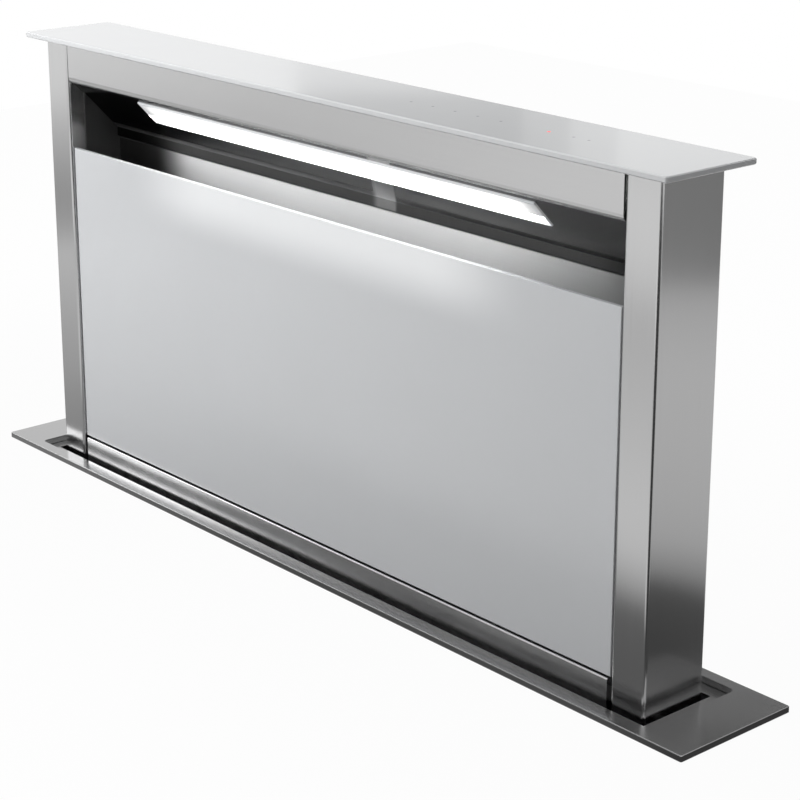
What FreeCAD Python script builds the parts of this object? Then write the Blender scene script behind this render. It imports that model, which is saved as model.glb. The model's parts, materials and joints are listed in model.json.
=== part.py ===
"""Downdraft vent for a 900 mm kitchen run: a lifting suction head that stands up out of the worktop.

Millimetres. The origin is the centre of the worktop cut-out, on the worktop's surface. +Z is up and
the glass side faces -Y. The model stands at its raised pose. Each solid or group of like solids below
is one piece of the real appliance.
"""
import FreeCAD, Part
import os
import math
import types
import Sketcher

SIZES = {
    # stainless trim that lies on the worktop, with the well that takes the closed cover
    "trim_border_side": 42.5,
    "trim_border_front": 10.7,
    "trim_thick": 5.0,
    "trim_corner": 1.5,
    "trim_arris": 0.7,
    "well_play_side": 1.5,
    "well_play_front": 1.9,
    "well_corner": 4.0,
    "gasket_width": 5.0,
    "gasket_thick": 1.5,
    "gasket_inset": 2.0,
    # tray under the trim, which is the floor of the well
    "tray_rim": 3.5,
    "tray_drop": 0.6,
    "tray_shadow": 1.0,
    "tray_sheet": 1.2,
    "slot_gap": 4.3,
    # lifting head
    "rise": 398.1,
    "head_tail": 95.0,
    "head_shift": 0.9,
    "post_span": 761.5,
    "post_width": 33.2,
    "post_depth": 63.2,
    "post_sheet": 1.5,
    "post_bend": 2.6,
    "cover_lap_side": 15.25,
    "cover_lap_front": 14.0,
    "cover_thick": 4.6,
    "cover_corner": 2.5,
    "cover_arris": 0.8,
    "pan_height": 4.0,
    "thin_sheet": 1.2,
    "seat_gap": 0.3,
    # fascia under the cover, and the lit hood behind it
    "fascia_gap": 1.55,
    "fascia_height": 32.0,
    "fascia_roll": 6.5,
    "plate_clear": 8.7,
    "slope_fall": 46.0,
    "liner_step": 8.0,
    "liner_joggle": 2.5,
    "filter_lap": 13.8,
    "cap_front": 16.6,
    "lens_length": 500.0,
    "lens_width": 28.0,
    "lens_start": 5.0,
    "lens_proud": 1.8,
    "lens_neck": 2.0,
    "lens_lip": 1.5,
    "channel_depth": 12.0,
    "channel_flange": 3.5,
    "led_board_gap": 3.25,
    "led_board_thick": 1.6,
    "led_size": 5.0,
    "led_chip_height": 1.2,
    "led_count": 20.0,
    "key_first": 91.3,
    "key_pitch": 25.0,
    "key_count": 5.0,
    "light_gap": 50.0,
    "dot_step": 15.0,
    "key_radius": 6.0,
    "dot_radius": 3.0,
    "board_margin": 14.0,
    "board_depth": 30.0,
    "board_thick": 1.6,
    # glass door over the filters
    "door_play": 2.55,
    "door_drop": 3.0,
    "door_gap": 1.7,
    "door_inset": 2.3,
    "door_glass": 4.0,
    "door_rim": 20.0,
    "door_margin": 8.0,
    "pivot_back": 7.6,
    "pivot_rise": 6.0,
    "pin_radius": 2.0,
    "run_gap": 0.05,
    "ear_thick": 3.0,
    "ear_radius": 3.5,
    "catch_width": 10.0,
    "catch_height": 12.0,
    # lower front rail, filter ledge and grease filters
    "rail_play": 4.55,
    "rail_top": 19.3,
    "rail_inset": 1.0,
    "rail_hem": 4.7,
    "ledge_drop": 5.3,
    "ledge_flange": 12.0,
    "ledge_lip": 7.0,
    "filter_count": 3.0,
    "filter_length": 240.0,
    "filter_thick": 9.0,
    "filter_foot": 17.0,
    "filter_rim": 12.0,
    "filter_spacing": 1.0,
    "knob_height": 5.0,
    "rear_screw_count": 6.0,
    # base of the head
    "base_thick": 3.0,
    "base_border": 9.0,
    "trip_width": 12.0,
    "trip_reach": 3.5,
    # lift drive
    "screw_radius": 6.0,
    "screw_spare": 10.0,
    "collar_radius": 10.0,
    "collar_height": 5.0,
    "nut_width": 26.0,
    "nut_depth": 34.0,
    "nut_height": 20.0,
    "travel_room": 18.6,
    "drive_plate_thick": 3.0,
    "bearing_width": 32.0,
    "bearing_depth": 40.0,
    "bearing_height": 20.0,
    "pulley_radius": 14.0,
    "pulley_height": 12.0,
    "pulley_flange": 2.0,
    "pulley_cheek": 1.2,
    "belt_thick": 1.6,
    "belt_slack": 0.3,
    "gearbox_radius": 22.0,
    "motor_radius": 18.0,
    "motor_foot_size": 56.0,
    "motor_foot_thick": 3.0,
    "gearbox_height": 26.0,
    "screw_entry": 8.7,
    "entry_depth": 13.0,
    "motor_length": 58.4,
    "rail_bar_width": 8.0,
    "rail_bar_depth": 12.0,
    "rail_bar_start": 12.0,
    "shoe_height": 30.0,
    "shoe_side": 9.0,
    "shoe_gap": 0.3,
    # body under the worktop
    "guide_room": 19.25,
    "body_play": 14.0,
    "body_sheet": 1.2,
    "body_lip": 12.0,
    "port_border": 20.0,
    "port_sill": 44.0,
    "port_head": 46.0,
    "panel_screw_count": 4.0,
    "panel_screw_margin": 32.0,
    # blower box on the front of the body
    "box_rise": 84.0,
    "motor_room": 8.1,
    "wheel_radius": 88.0,
    "wheel_width": 78.0,
    "wheel_back": 2.0,
    "wheel_ring": 5.0,
    "blade_count": 36.0,
    "blade_chord": 18.0,
    "blade_thick": 1.2,
    "blade_set": 35.0,
    "hub_radius": 16.0,
    "hub_length": 30.0,
    "wheel_side": 11.0,
    "scroll_gap": 10.0,
    "scroll_growth": 14.0,
    "scroll_sheet": 1.5,
    "scroll_shift": 15.0,
    "scroll_headroom": 22.8,
    "outlet_run": 54.8,
    "inlet_lap": 12.0,
    "fan_motor_radius": 48.0,
    "fan_motor_length": 58.0,
    "fan_shaft_radius": 5.0,
    "fan_shaft_depth": 40.0,
    # round outlet with its two non-return flaps
    "outlet_radius": 74.5,
    "outlet_wall": 2.5,
    "outlet_length": 80.0,
    "flange_border": 14.5,
    "flange_room": 2.2,
    "outlet_flange_thick": 3.0,
    "flap_drop": 12.0,
    "flap_gap": 0.8,
    "flap_thick": 1.2,
    "flap_pin_radius": 1.5,
    "flap_barrel": 3.0,
    "flap_barrel_end": 17.0,
    "flap_spacing": 4.0,
    "spring_length": 9.0,
    "spring_radius": 3.4,
    # control box beside the blower box
    "control_width": 130.0,
    "control_depth": 52.0,
    "control_height": 150.0,
    "control_gap": 14.0,
    "control_margin": 26.0,
    "control_sheet": 2.0,
    "power_board_gap": 8.0,
    "board_post_inset": 8.0,
    "gland_clear": 16.0,
    "coil_size": 32.0,
    "coil_height": 16.0,
    "gland_radius": 9.0,
    "gland_bore": 4.0,
    "gland_length": 18.0,
    "gland_neck_radius": 6.0,
    "gland_inside": 4.5,
    # what holds it under the worktop and to the cabinet
    "clamp_room": 20.0,
    "clamp_reach": 26.0,
    "clamp_width": 24.0,
    "clamp_leg": 40.0,
    "clamp_sheet": 2.0,
    "clamp_edge": 6.5,
    "clamp_screw_radius": 2.5,
    "clamp_screw_length": 58.0,
    "clamp_pad_radius": 7.0,
    "clamp_pad_thick": 3.0,
    "worktop_thick": 30.0,
    "foot_drop": 25.0,
    "foot_reach": 32.0,
    "foot_width": 70.0,
    "foot_leg": 110.0,
    "foot_hole_radius": 2.75,
    "foot_hole_edge": 10.0,
    "foot_hole_reach": 18.0,
    # screws and switches
    "small_screw_radius": 1.9,
    "small_head_radius": 3.6,
    "small_head_height": 2.2,
    "hole_slack": 0.2,
    "edge_margin": 6.0,
    "switch_length": 20.0,
    "switch_height": 12.0,
    "switch_gap": 1.6,
    "switch_inset": 47.55,
}


class Term:
    """A length that knows both its value and its formula in the sheet's cells."""

    def __init__(self, value, text):
        self.value = value
        self.text = text

    def __add__(self, other):
        return joined(self, "+", other)

    def __radd__(self, other):
        return joined(other, "+", self)

    def __sub__(self, other):
        return joined(self, "-", other)

    def __rsub__(self, other):
        return joined(other, "-", self)

    def __mul__(self, other):
        return joined(self, "*", other)

    def __rmul__(self, other):
        return joined(other, "*", self)

    def __truediv__(self, other):
        return joined(self, "/", other)

    def __rtruediv__(self, other):
        return joined(other, "/", self)

    def __neg__(self):
        return joined(0, "-", self)


def term(value):
    """A plain number as a Term."""
    return value if isinstance(value, Term) else Term(float(value), repr(float(value)))


def joined(left, sign, right):
    """Two terms joined by one of the four signs."""
    a, b = term(left), term(right)
    results = {
        "+": a.value + b.value,
        "-": a.value - b.value,
        "*": a.value * b.value,
        "/": a.value / b.value if b.value else 0.0,
    }
    return Term(results[sign], f"({a.text} {sign} {b.text})")


def root(x):
    """The square root of a term."""
    return Term(math.sqrt(x.value), f"sqrt({x.text})")


def arc_sine(x):
    """The angle, in degrees, whose sine is a term."""
    return Term(math.degrees(math.asin(x.value)), f"asin({x.text})")


def arc_tangent(x):
    """The angle, in degrees, whose tangent is a term."""
    return Term(math.degrees(math.atan(x.value)), f"atan({x.text})")


doc = FreeCAD.newDocument("downdraft_vent")
sheet = doc.addObject("Spreadsheet::Sheet", "Sizes")
for row, (name, value) in enumerate(SIZES.items(), start=1):
    sheet.set(f"A{row}", name)
    sheet.set(f"B{row}", str(value))
    sheet.setAlias(f"B{row}", name)
doc.recompute()
S = types.SimpleNamespace(**{name: Term(value, f"Sizes.{name}") for name, value in SIZES.items()})

NODES = []


def node(item, name):
    """Name a finished piece, so that it gets a file of its own."""
    item.Label = name
    NODES.append(item)
    return item


def part_name(stem):
    """An unused internal name for a feature."""
    part_name.count += 1
    return f"{stem}_{part_name.count}"


part_name.count = 0


def bind(item, prop, value):
    """Tie a property to its formula."""
    item.setExpression(prop, term(value).text)


def span(middle, width):
    """The two limits of a width about a middle."""
    return middle - width / 2, middle + width / 2


# ---------------------------------------------------------------- building blocks
TURNS = {
    "x": FreeCAD.Rotation(FreeCAD.Vector(0, 1, 0), 90),
    "y": FreeCAD.Rotation(FreeCAD.Vector(1, 0, 0), -90),
    "z": FreeCAD.Rotation(),
}


def block(x, y, z):
    """A box between a low and a high limit along each axis."""
    item = doc.addObject("Part::Box", part_name("Block"))
    for side, axis, (low, high) in zip(("Length", "Width", "Height"), "xyz", (x, y, z)):
        bind(item, side, high - low)
        bind(item, f"Placement.Base.{axis}", low)
    return item


def rod(axis, start, radius, length):
    """A cylinder from a start point along an axis."""
    item = doc.addObject("Part::Cylinder", part_name("Rod"))
    item.Placement.Rotation = TURNS[axis]
    bind(item, "Radius", radius)
    bind(item, "Height", length)
    for letter, value in zip("xyz", start):
        bind(item, f"Placement.Base.{letter}", value)
    return item


def fuse(items):
    """Several shapes made one solid."""
    item = doc.addObject("Part::MultiFuse", part_name("Fuse"))
    item.Shapes = list(items)
    item.Refine = True
    return item


def group(items):
    """Several separate solids kept together."""
    item = doc.addObject("Part::Compound", part_name("Group"))
    item.Links = list(items)
    return item


def cut(base, tools):
    """A shape less others."""
    tools = list(tools)
    item = doc.addObject("Part::Cut", part_name("Cut"))
    item.Base = base
    item.Tool = tools[0] if len(tools) == 1 else group(tools)
    return item


# The normal of each origin plane, and the axis letter that it lies along.
PLANES = {"XY_Plane": ("z", 1), "XZ_Plane": ("y", -1), "YZ_Plane": ("x", 1)}


def new_body():
    """An empty body."""
    return doc.addObject("PartDesign::Body", part_name("Body"))


def pin_point(sketch, geometry, place, u, v):
    """Fix a sketch point at its distances from the origin."""
    for kind, value in (("DistanceX", u), ("DistanceY", v)):
        if value is None:
            continue
        index = sketch.addConstraint(
            Sketcher.Constraint(kind, -1, 1, geometry, place, term(value).value)
        )
        bind(sketch, f"Constraints[{index}]", value)


def draw_outline(sketch, corners):
    """A closed outline. A corner is (u, v), or (u, v, cu, cv) where an arc about (cu, cv) follows it."""
    ends = []
    for here, after in zip(corners, corners[1:] + corners[:1]):
        start = FreeCAD.Vector(term(here[0]).value, term(here[1]).value, 0)
        end = FreeCAD.Vector(term(after[0]).value, term(after[1]).value, 0)
        if len(here) == 2:
            line = sketch.addGeometry(Part.LineSegment(start, end))
            ends.append(((line, 1), (line, 2)))
            continue
        middle = FreeCAD.Vector(term(here[2]).value, term(here[3]).value, 0)
        turn = (start - middle).cross(end - middle).z
        first, last = (start, end) if turn > 0 else (end, start)
        angles = [math.atan2((p - middle).y, (p - middle).x) for p in (first, last)]
        circle = Part.Circle(middle, FreeCAD.Vector(0, 0, 1), (start - middle).Length)
        arc = sketch.addGeometry(Part.ArcOfCircle(circle, angles[0], angles[1]))
        ends.append(((arc, 1), (arc, 2)) if turn > 0 else ((arc, 2), (arc, 1)))
        chord = end - start
        steep = abs(chord.y) >= abs(chord.x)
        pin_point(sketch, arc, 3, here[2] if steep else None, None if steep else here[3])
    for n, (begin, finish) in enumerate(ends):
        following = ends[(n + 1) % len(ends)][0]
        sketch.addConstraint(Sketcher.Constraint("Coincident", *finish, *following))
        pin_point(sketch, *begin, corners[n][0], corners[n][1])


def draw_circle(sketch, u, v, radius):
    """A circle with its centre and radius fixed."""
    middle = FreeCAD.Vector(term(u).value, term(v).value, 0)
    circle = sketch.addGeometry(Part.Circle(middle, FreeCAD.Vector(0, 0, 1), term(radius).value))
    pin_point(sketch, circle, 3, u, v)
    index = sketch.addConstraint(Sketcher.Constraint("Radius", circle, term(radius).value))
    bind(sketch, f"Constraints[{index}]", radius)


def new_sketch(body, plane, offset, outlines, circles=()):
    """A sketch on one of the body's own planes, moved along the plane's normal."""
    sketch = body.newObject("Sketcher::SketchObject", part_name("Sketch"))
    origin_plane = next(f for f in body.Origin.OriginFeatures if f.Role == plane)
    sketch.AttachmentSupport = [(origin_plane, "")]
    sketch.MapMode = "FlatFace"
    bind(sketch, "AttachmentOffset.Base.z", offset)
    for outline in outlines:
        draw_outline(sketch, outline)
    for circle in circles:
        draw_circle(sketch, *circle)
    return sketch


def pad(body, plane, low, high, outlines, circles=()):
    """Pad outlines between two places along the axis that is square to the plane."""
    way = PLANES[plane][1]
    start = low if way > 0 else -high
    sketch = new_sketch(body, plane, start, outlines, circles)
    feature = body.newObject("PartDesign::Pad", part_name("Pad"))
    feature.Profile = sketch
    bind(feature, "Length", high - low)
    doc.recompute()
    return feature


def pocket(body, plane, low, high, outlines, circles=()):
    """Cut outlines out between two places along the axis that is square to the plane."""
    way = PLANES[plane][1]
    start = low if way > 0 else -high
    sketch = new_sketch(body, plane, start, outlines, circles)
    feature = body.newObject("PartDesign::Pocket", part_name("Pocket"))
    feature.Profile = sketch
    feature.Reversed = True
    bind(feature, "Length", high - low)
    before = body.Shape.Volume
    doc.recompute()
    if body.Shape.Volume >= before:
        raise SystemExit(f"{feature.Name} cuts nothing")
    return feature


def rounded(body, feature, radius, picked, kind="PartDesign::Fillet"):
    """Round or bevel the edges of a feature that a test picks."""
    names = [f"Edge{n}" for n, edge in enumerate(feature.Shape.Edges, start=1) if picked(edge)]
    if not names:
        raise SystemExit(f"no edge to round on {feature.Name}")
    dressed = body.newObject(kind, part_name("Edge"))
    dressed.Base = (feature, names)
    bind(dressed, "Radius" if kind.endswith("Fillet") else "Size", radius)
    doc.recompute()
    return dressed


def rectangle(u, v):
    """The corners of a rectangle between two limits each way."""
    return [(u[0], v[0]), (u[1], v[0]), (u[1], v[1]), (u[0], v[1])]


def upright_at(x_reach, y_reach=None):
    """A test for upright edges that stand this far out."""

    def test(edge):
        box = edge.BoundBox
        return (
            box.ZLength > 1e-3
            and box.XLength + box.YLength < 1e-6
            and abs(abs(box.Center.x) - term(x_reach).value) < 1e-3
            and (y_reach is None or abs(abs(box.Center.y) - term(y_reach).value) < 1e-3)
        )

    return test


def level_at(height, reach=None):
    """A test for edges that lie level at a height, no further in than a reach along X or Y."""

    def test(edge):
        box = edge.BoundBox
        low, high = abs(box.Center.x), abs(box.Center.y)
        return (
            box.ZLength < 1e-6
            and abs(box.ZMin - term(height).value) < 1e-3
            and (reach is None or low > reach[0].value or high > reach[1].value)
        )

    return test


def either(*tests):
    """A test for edges that pass any of some tests."""
    return lambda edge: any(test(edge) for test in tests)


def tilt(item, angle, y, z):
    """Turn a piece about an axis along X and set it at a height."""
    item.Placement.Rotation = FreeCAD.Rotation(FreeCAD.Vector(1, 0, 0), -term(angle).value)
    bind(item, "Placement.Rotation.Angle", angle)
    item.Placement.Rotation.Axis = FreeCAD.Vector(-1, 0, 0)
    bind(item, "Placement.Base.y", y)
    bind(item, "Placement.Base.z", z)
    return item


def drilled(base, axis, starts, radius, length):
    """A piece with a row of holes."""
    return cut(base, [rod(axis, start, radius, length) for start in starts])


def small_screws(axis, heads, way, grip):
    """Pan-head screws, each from the face that its head lies on."""
    screws = []
    for x, y, z in heads:
        place = {"x": x, "y": y, "z": z}
        seat = dict(place)
        seat[axis] = place[axis] if way > 0 else place[axis] - S.small_head_height
        tail = dict(place)
        tail[axis] = place[axis] - grip if way > 0 else place[axis]
        head = rod(axis, tuple(seat[a] for a in "xyz"), S.small_head_radius, S.small_head_height)
        shank = rod(axis, tuple(tail[a] for a in "xyz"), S.small_screw_radius, grip)
        screws.append(fuse([head, shank]))
    return screws


# ---------------------------------------------------------------- shared places
cover_top = S.trim_thick + S.rise
cover_under = cover_top - S.cover_thick
cover_half_wide = S.post_span / 2 + S.cover_lap_side
cover_half_deep = S.post_depth / 2 + S.cover_lap_front
well_half_wide = cover_half_wide + S.well_play_side
well_half_deep = cover_half_deep + S.well_play_front
trim_half_wide = well_half_wide + S.trim_border_side
trim_half_deep = well_half_deep + S.trim_border_front
head_middle = -S.head_shift
head_front = head_middle - S.post_depth / 2
head_back = head_middle + S.post_depth / 2
post_outer = S.post_span / 2
post_inner = post_outer - S.post_width
post_middle = post_outer - S.post_width / 2
tray_under = -S.tray_drop - S.tray_sheet
rear_sheet_front = head_back - S.thin_sheet
body_half = post_outer + S.guide_room
body_back = S.post_depth / 2 + S.head_shift + S.body_play
body_front = -body_back
body_inner = body_half - S.body_sheet
pivot_y = head_front + S.door_inset + S.pivot_back
door_foot = S.rail_top + S.door_gap
pivot_z = door_foot + S.pivot_rise
switch_place = post_inner - S.switch_inset


# ---------------------------------------------------------------- trim and well
def make_trim():
    """Stainless trim on the worktop, the soft gasket in its underside and the tray of the well."""
    wide, deep = trim_half_wide, trim_half_deep
    well_wide, well_deep = well_half_wide, well_half_deep
    trim = new_body()
    ring = pad(trim, "XY_Plane", term(0), S.trim_thick, ring_outlines((wide, deep), (well_wide, well_deep)))
    ring = rounded(trim, ring, S.well_corner, upright_at(well_wide))
    ring = rounded(trim, ring, S.trim_corner, upright_at(wide))
    rounded(trim, ring, S.trim_arris, level_at(S.trim_thick, (wide - S.trim_corner, deep - S.trim_corner)))
    outer = (wide - S.gasket_inset, deep - S.gasket_inset)
    inner = (outer[0] - S.gasket_width, outer[1] - S.gasket_width)
    pocket(trim, "XY_Plane", term(0), S.gasket_thick, ring_outlines(outer, inner))
    node(trim, "trim_frame")

    gasket = new_body()
    slim = S.hole_slack / 2
    outer = (outer[0] - slim, outer[1] - slim)
    inner = (inner[0] + slim, inner[1] + slim)
    pad(gasket, "XY_Plane", term(0), S.gasket_thick, ring_outlines(outer, inner))
    node(gasket, "trim_gasket")

    tray = new_body()
    rim_wide, rim_deep = well_wide + S.tray_rim, well_deep + S.tray_rim
    pad(tray, "XY_Plane", tray_under, term(0), [rectangle((-rim_wide, rim_wide), (-rim_deep, rim_deep))])
    floor_wide, floor_deep = well_wide + S.tray_shadow, well_deep + S.tray_shadow
    floor_shape = rectangle((-floor_wide, floor_wide), (-floor_deep, floor_deep))
    pocket(tray, "XY_Plane", -S.tray_drop, term(0), [floor_shape])
    slot_wide = post_outer + S.slot_gap
    slot = rectangle((-slot_wide, slot_wide), (head_front - S.slot_gap, head_back + S.slot_gap))
    pocket(tray, "XY_Plane", tray_under, -S.tray_drop, [slot])
    node(tray, "well_tray")


def ring_outlines(outer, inner):
    """Two rectangles about the origin, one inside the other, by their half sizes."""
    return [
        rectangle((-outer[0], outer[0]), (-outer[1], outer[1])),
        rectangle((-inner[0], inner[0]), (-inner[1], inner[1])),
    ]


# ---------------------------------------------------------------- lifting head
def make_post(side, name):
    """Hollow folded post, with the hole that takes the door's hinge pin."""
    post = new_body()
    outer = (side * post_inner, side * post_outer)
    low, high = (outer[0], outer[1]) if side > 0 else (outer[1], outer[0])
    wall = S.post_sheet
    tube = pad(
        post,
        "XY_Plane",
        -S.head_tail,
        cover_under,
        [
            rectangle((low, high), (head_front, head_back)),
            rectangle((low + wall, high - wall), (head_front + wall, head_back - wall)),
        ],
    )
    rounded(post, tube, S.post_bend, either(upright_at(post_inner), upright_at(post_outer)))
    reach = post_inner if side > 0 else -post_inner - wall
    pocket(post, "YZ_Plane", reach, reach + wall, [], [(pivot_y, pivot_z, S.pin_radius + S.run_gap)])
    node(post, name)


def make_cover():
    """Glass cover plate, the pan that carries it and the touch board between them."""
    wide, deep = cover_half_wide, cover_half_deep
    cover = new_body()
    plate = pad(cover, "XY_Plane", cover_under, cover_top, [rectangle((-wide, wide), (-deep, deep))])
    plate = rounded(cover, plate, S.cover_corner, upright_at(wide))
    arrises = either(level_at(cover_top), level_at(cover_under))
    rounded(cover, plate, S.cover_arris, arrises, "PartDesign::Chamfer")
    node(cover, "cover_glass")

    pan = new_body()
    front, back = head_front + S.post_sheet, rear_sheet_front
    foot, wall = cover_under - S.pan_height, S.thin_sheet
    reach = post_inner - S.fascia_gap
    section = [
        (front, foot),
        (back, foot),
        (back, cover_under),
        (back - wall, cover_under),
        (back - wall, foot + wall),
        (front + wall, foot + wall),
        (front + wall, cover_under),
        (front, cover_under),
    ]
    pad(pan, "YZ_Plane", -reach, reach, [section])
    node(pan, "cover_pan")

    key_places = [S.key_first + S.key_pitch * n for n in range(int(SIZES["key_count"]))]
    light = key_places[-1] + S.light_gap
    key_places += [light, light + S.key_pitch, light + S.key_pitch + S.dot_step]
    board_top = foot + wall + S.board_thick
    sides = (key_places[0] - S.board_margin, key_places[-1] + S.board_margin)
    pieces = [block(sides, span(head_middle, S.board_depth), (foot + wall, board_top))]
    for place in key_places:
        radius = S.key_radius if place is not key_places[-1] else S.dot_radius
        pieces.append(rod("z", (place, head_middle, board_top), radius, cover_under - board_top - S.seat_gap))
    node(fuse(pieces), "touch_board")


hood_lip_y = head_front + S.fascia_roll
hood_lip_z = cover_under - S.fascia_height - S.fascia_roll
slope_start_y = hood_lip_y + S.seat_gap
lower_plate_y = rear_sheet_front - S.plate_clear
slope_run = lower_plate_y - S.liner_joggle - slope_start_y
slope_length = root(slope_run * slope_run + S.slope_fall * S.slope_fall)
slope_angle = arc_tangent(S.slope_fall / slope_run)
slope_foot_z = hood_lip_z - S.slope_fall - S.liner_step - S.liner_joggle
liner_reach = post_inner - S.thin_sheet - S.seat_gap
ledge_top = S.rail_top - S.ledge_drop
filter_foot_y = head_front + S.filter_foot
lean_sine = (lower_plate_y - S.seat_gap - S.filter_thick - filter_foot_y) / S.filter_length
filter_foot_z = ledge_top + S.seat_gap + S.filter_thick * lean_sine
filter_top_z = filter_foot_z + S.filter_length * root(1 - lean_sine * lean_sine)
liner_foot = filter_top_z - S.filter_lap


def make_fascia():
    """Stainless fascia under the cover, with its lower edge rolled back."""
    fascia = new_body()
    reach = post_inner - S.fascia_gap
    sheet_in = S.post_sheet
    roll_z = cover_under - S.fascia_height
    section = [
        (head_front, cover_under),
        (head_front, roll_z, hood_lip_y, roll_z),
        (hood_lip_y, hood_lip_z),
        (hood_lip_y, hood_lip_z + sheet_in, hood_lip_y, roll_z),
        (head_front + sheet_in, roll_z),
        (head_front + sheet_in, cover_under),
    ]
    pad(fascia, "YZ_Plane", -reach, reach, [section])
    node(fascia, "fascia")


def make_liner():
    """Slanted lamp panel that turns down into the upper back wall of the air channel."""
    wall = S.thin_sheet
    steep = wall * slope_length / slope_run
    y0, z0 = slope_start_y, hood_lip_z
    y1, z1 = y0 + slope_run, z0 - S.slope_fall
    z2 = z1 - S.liner_step
    z3 = slope_foot_z
    back = rear_sheet_front - S.hole_slack
    section = [
        (y0, z0),
        (y1, z1),
        (y1, z2),
        (lower_plate_y, z3),
        (lower_plate_y, liner_foot),
        (back, liner_foot),
        (back, liner_foot + wall),
        (lower_plate_y + wall, liner_foot + wall),
        (lower_plate_y + wall, z3 + wall / 2),
        (y1 + wall, z2 + wall / 2),
        (y1 + wall, z1 + steep - wall * S.slope_fall / slope_run),
        (y0, z0 + steep),
    ]
    liner = new_body()
    pad(liner, "YZ_Plane", -liner_reach, liner_reach, [section])
    window = new_body()
    neck_half = S.lens_length / 2 - S.lens_lip + S.seat_gap
    neck = (S.lens_start + S.lens_lip - S.seat_gap, S.lens_start + S.lens_width - S.lens_lip + S.seat_gap)
    pad(window, "YZ_Plane", -neck_half, neck_half, [rectangle(neck, (-S.channel_depth / 2, S.channel_depth))])
    tilt(window, slope_angle, slope_start_y, hood_lip_z)
    node(cut(liner, [window]), "hood_liner")


def make_lamp():
    """Opal lamp lens, the channel behind it and its strip of LEDs, laid on the slope."""
    lens = new_body()
    start, finish = S.lens_start, S.lens_start + S.lens_width
    lip, half = S.lens_lip, S.lens_length / 2
    face = pad(lens, "YZ_Plane", -half, half, [rectangle((start, finish), (-S.lens_proud, term(0)))])
    rounded(lens, face, S.lens_proud / 2, level_at(-S.lens_proud))
    neck = rectangle((start + lip, finish - lip), (term(0), S.lens_neck))
    pad(lens, "YZ_Plane", lip - half, half - lip, [neck])
    node(tilt(lens, slope_angle, slope_start_y, hood_lip_z), "lamp_lens")

    channel = new_body()
    wall = S.thin_sheet
    seat, roof = wall, wall + S.channel_depth
    inner = (start + lip / 2, finish - lip / 2)
    section = [
        (inner[0] - S.channel_flange, seat),
        (inner[0], seat),
        (inner[0], roof - wall),
        (inner[1], roof - wall),
        (inner[1], seat),
        (inner[1] + S.channel_flange, seat),
        (inner[1] + S.channel_flange, seat + wall),
        (inner[1] + wall, seat + wall),
        (inner[1] + wall, roof),
        (inner[0] - wall, roof),
        (inner[0] - wall, seat + wall),
        (inner[0] - S.channel_flange, seat + wall),
    ]
    pad(channel, "YZ_Plane", -half, half, [section])
    node(tilt(channel, slope_angle, slope_start_y, hood_lip_z), "lamp_channel")

    strip = new_body()
    middle = (start + finish) / 2
    top = roof - wall
    board = (inner[0] + S.led_board_gap, inner[1] - S.led_board_gap)
    pad(strip, "YZ_Plane", lip - half, half - lip, [rectangle(board, (top - S.led_board_thick, top))])
    pitch = (S.lens_length - 2 * lip) / S.led_count
    chip_top = top - S.led_board_thick
    chip = rectangle(span(middle, S.led_size), (chip_top - S.led_chip_height, chip_top))
    for n in range(int(SIZES["led_count"])):
        place = lip - half + pitch * (n + 0.5)
        pad(strip, "YZ_Plane", *span(place, S.led_size), [chip])
    node(tilt(strip, slope_angle, slope_start_y, hood_lip_z), "led_strip")


def make_cavity_caps():
    """Plates that close the hood's two ends against the posts."""
    y = (head_front + S.cap_front, rear_sheet_front - S.hole_slack)
    z = (liner_foot, cover_under - S.pan_height - S.seat_gap)
    right = block((post_inner - S.thin_sheet, post_inner), y, z)
    left = block((-post_inner, S.thin_sheet - post_inner), y, z)
    node(group([left, right]), "cavity_caps")


def lies_in_face(edge):
    """A test for the edges round the two faces of an upright plate."""
    return edge.BoundBox.YLength < 1e-6


def make_door():
    """Glass door, the steel frame glued to its back with the hinge pins, and the catches on the posts."""
    glass_y = (head_front + S.door_inset, head_front + S.door_inset + S.door_glass)
    wide = post_inner - S.door_play
    glass_z = (door_foot, slope_foot_z - S.door_drop)
    glass = new_body()
    plate = pad(glass, "XZ_Plane", *glass_y, [rectangle((-wide, wide), glass_z)])
    rounded(glass, plate, S.cover_arris / 2, lies_in_face, "PartDesign::Chamfer")
    node(glass, "door_glass")

    frame_y = (glass_y[1], glass_y[1] + S.post_sheet)
    reach = wide - S.door_margin
    outer_z = (pivot_z - S.ear_radius, glass_z[1] - S.door_margin)
    ring = new_body()
    pad(
        ring,
        "XZ_Plane",
        *frame_y,
        [
            rectangle((-reach, reach), outer_z),
            rectangle(
                (S.door_rim - reach, reach - S.door_rim), (outer_z[0] + S.door_rim, outer_z[1] - S.door_rim)
            ),
        ],
    )
    pieces = [ring]
    for side in (-1, 1):
        inside = reach - S.ear_thick if side > 0 else -reach
        ear_y = (frame_y[0], pivot_y)
        ear_z = (pivot_z - S.ear_radius, pivot_z + S.ear_radius)
        pieces.append(block((inside, inside + S.ear_thick), ear_y, ear_z))
        pieces.append(rod("x", (inside, pivot_y, pivot_z), S.ear_radius, S.ear_thick))
        pin_length = post_inner + S.post_sheet - reach
        start = reach if side > 0 else -reach - pin_length
        pieces.append(rod("x", (start, pivot_y, pivot_z), S.pin_radius, pin_length))
    node(fuse(pieces), "door_frame")

    catch_z = (outer_z[1] - S.catch_height, outer_z[1])
    catch_y = (frame_y[1] + S.seat_gap, head_front + S.cap_front - S.hole_slack)
    right = block((post_inner - S.catch_width, post_inner), catch_y, catch_z)
    left = block((-post_inner, S.catch_width - post_inner), catch_y, catch_z)
    node(group([left, right]), "door_catches")


rail_front = head_front + S.rail_inset


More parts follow.
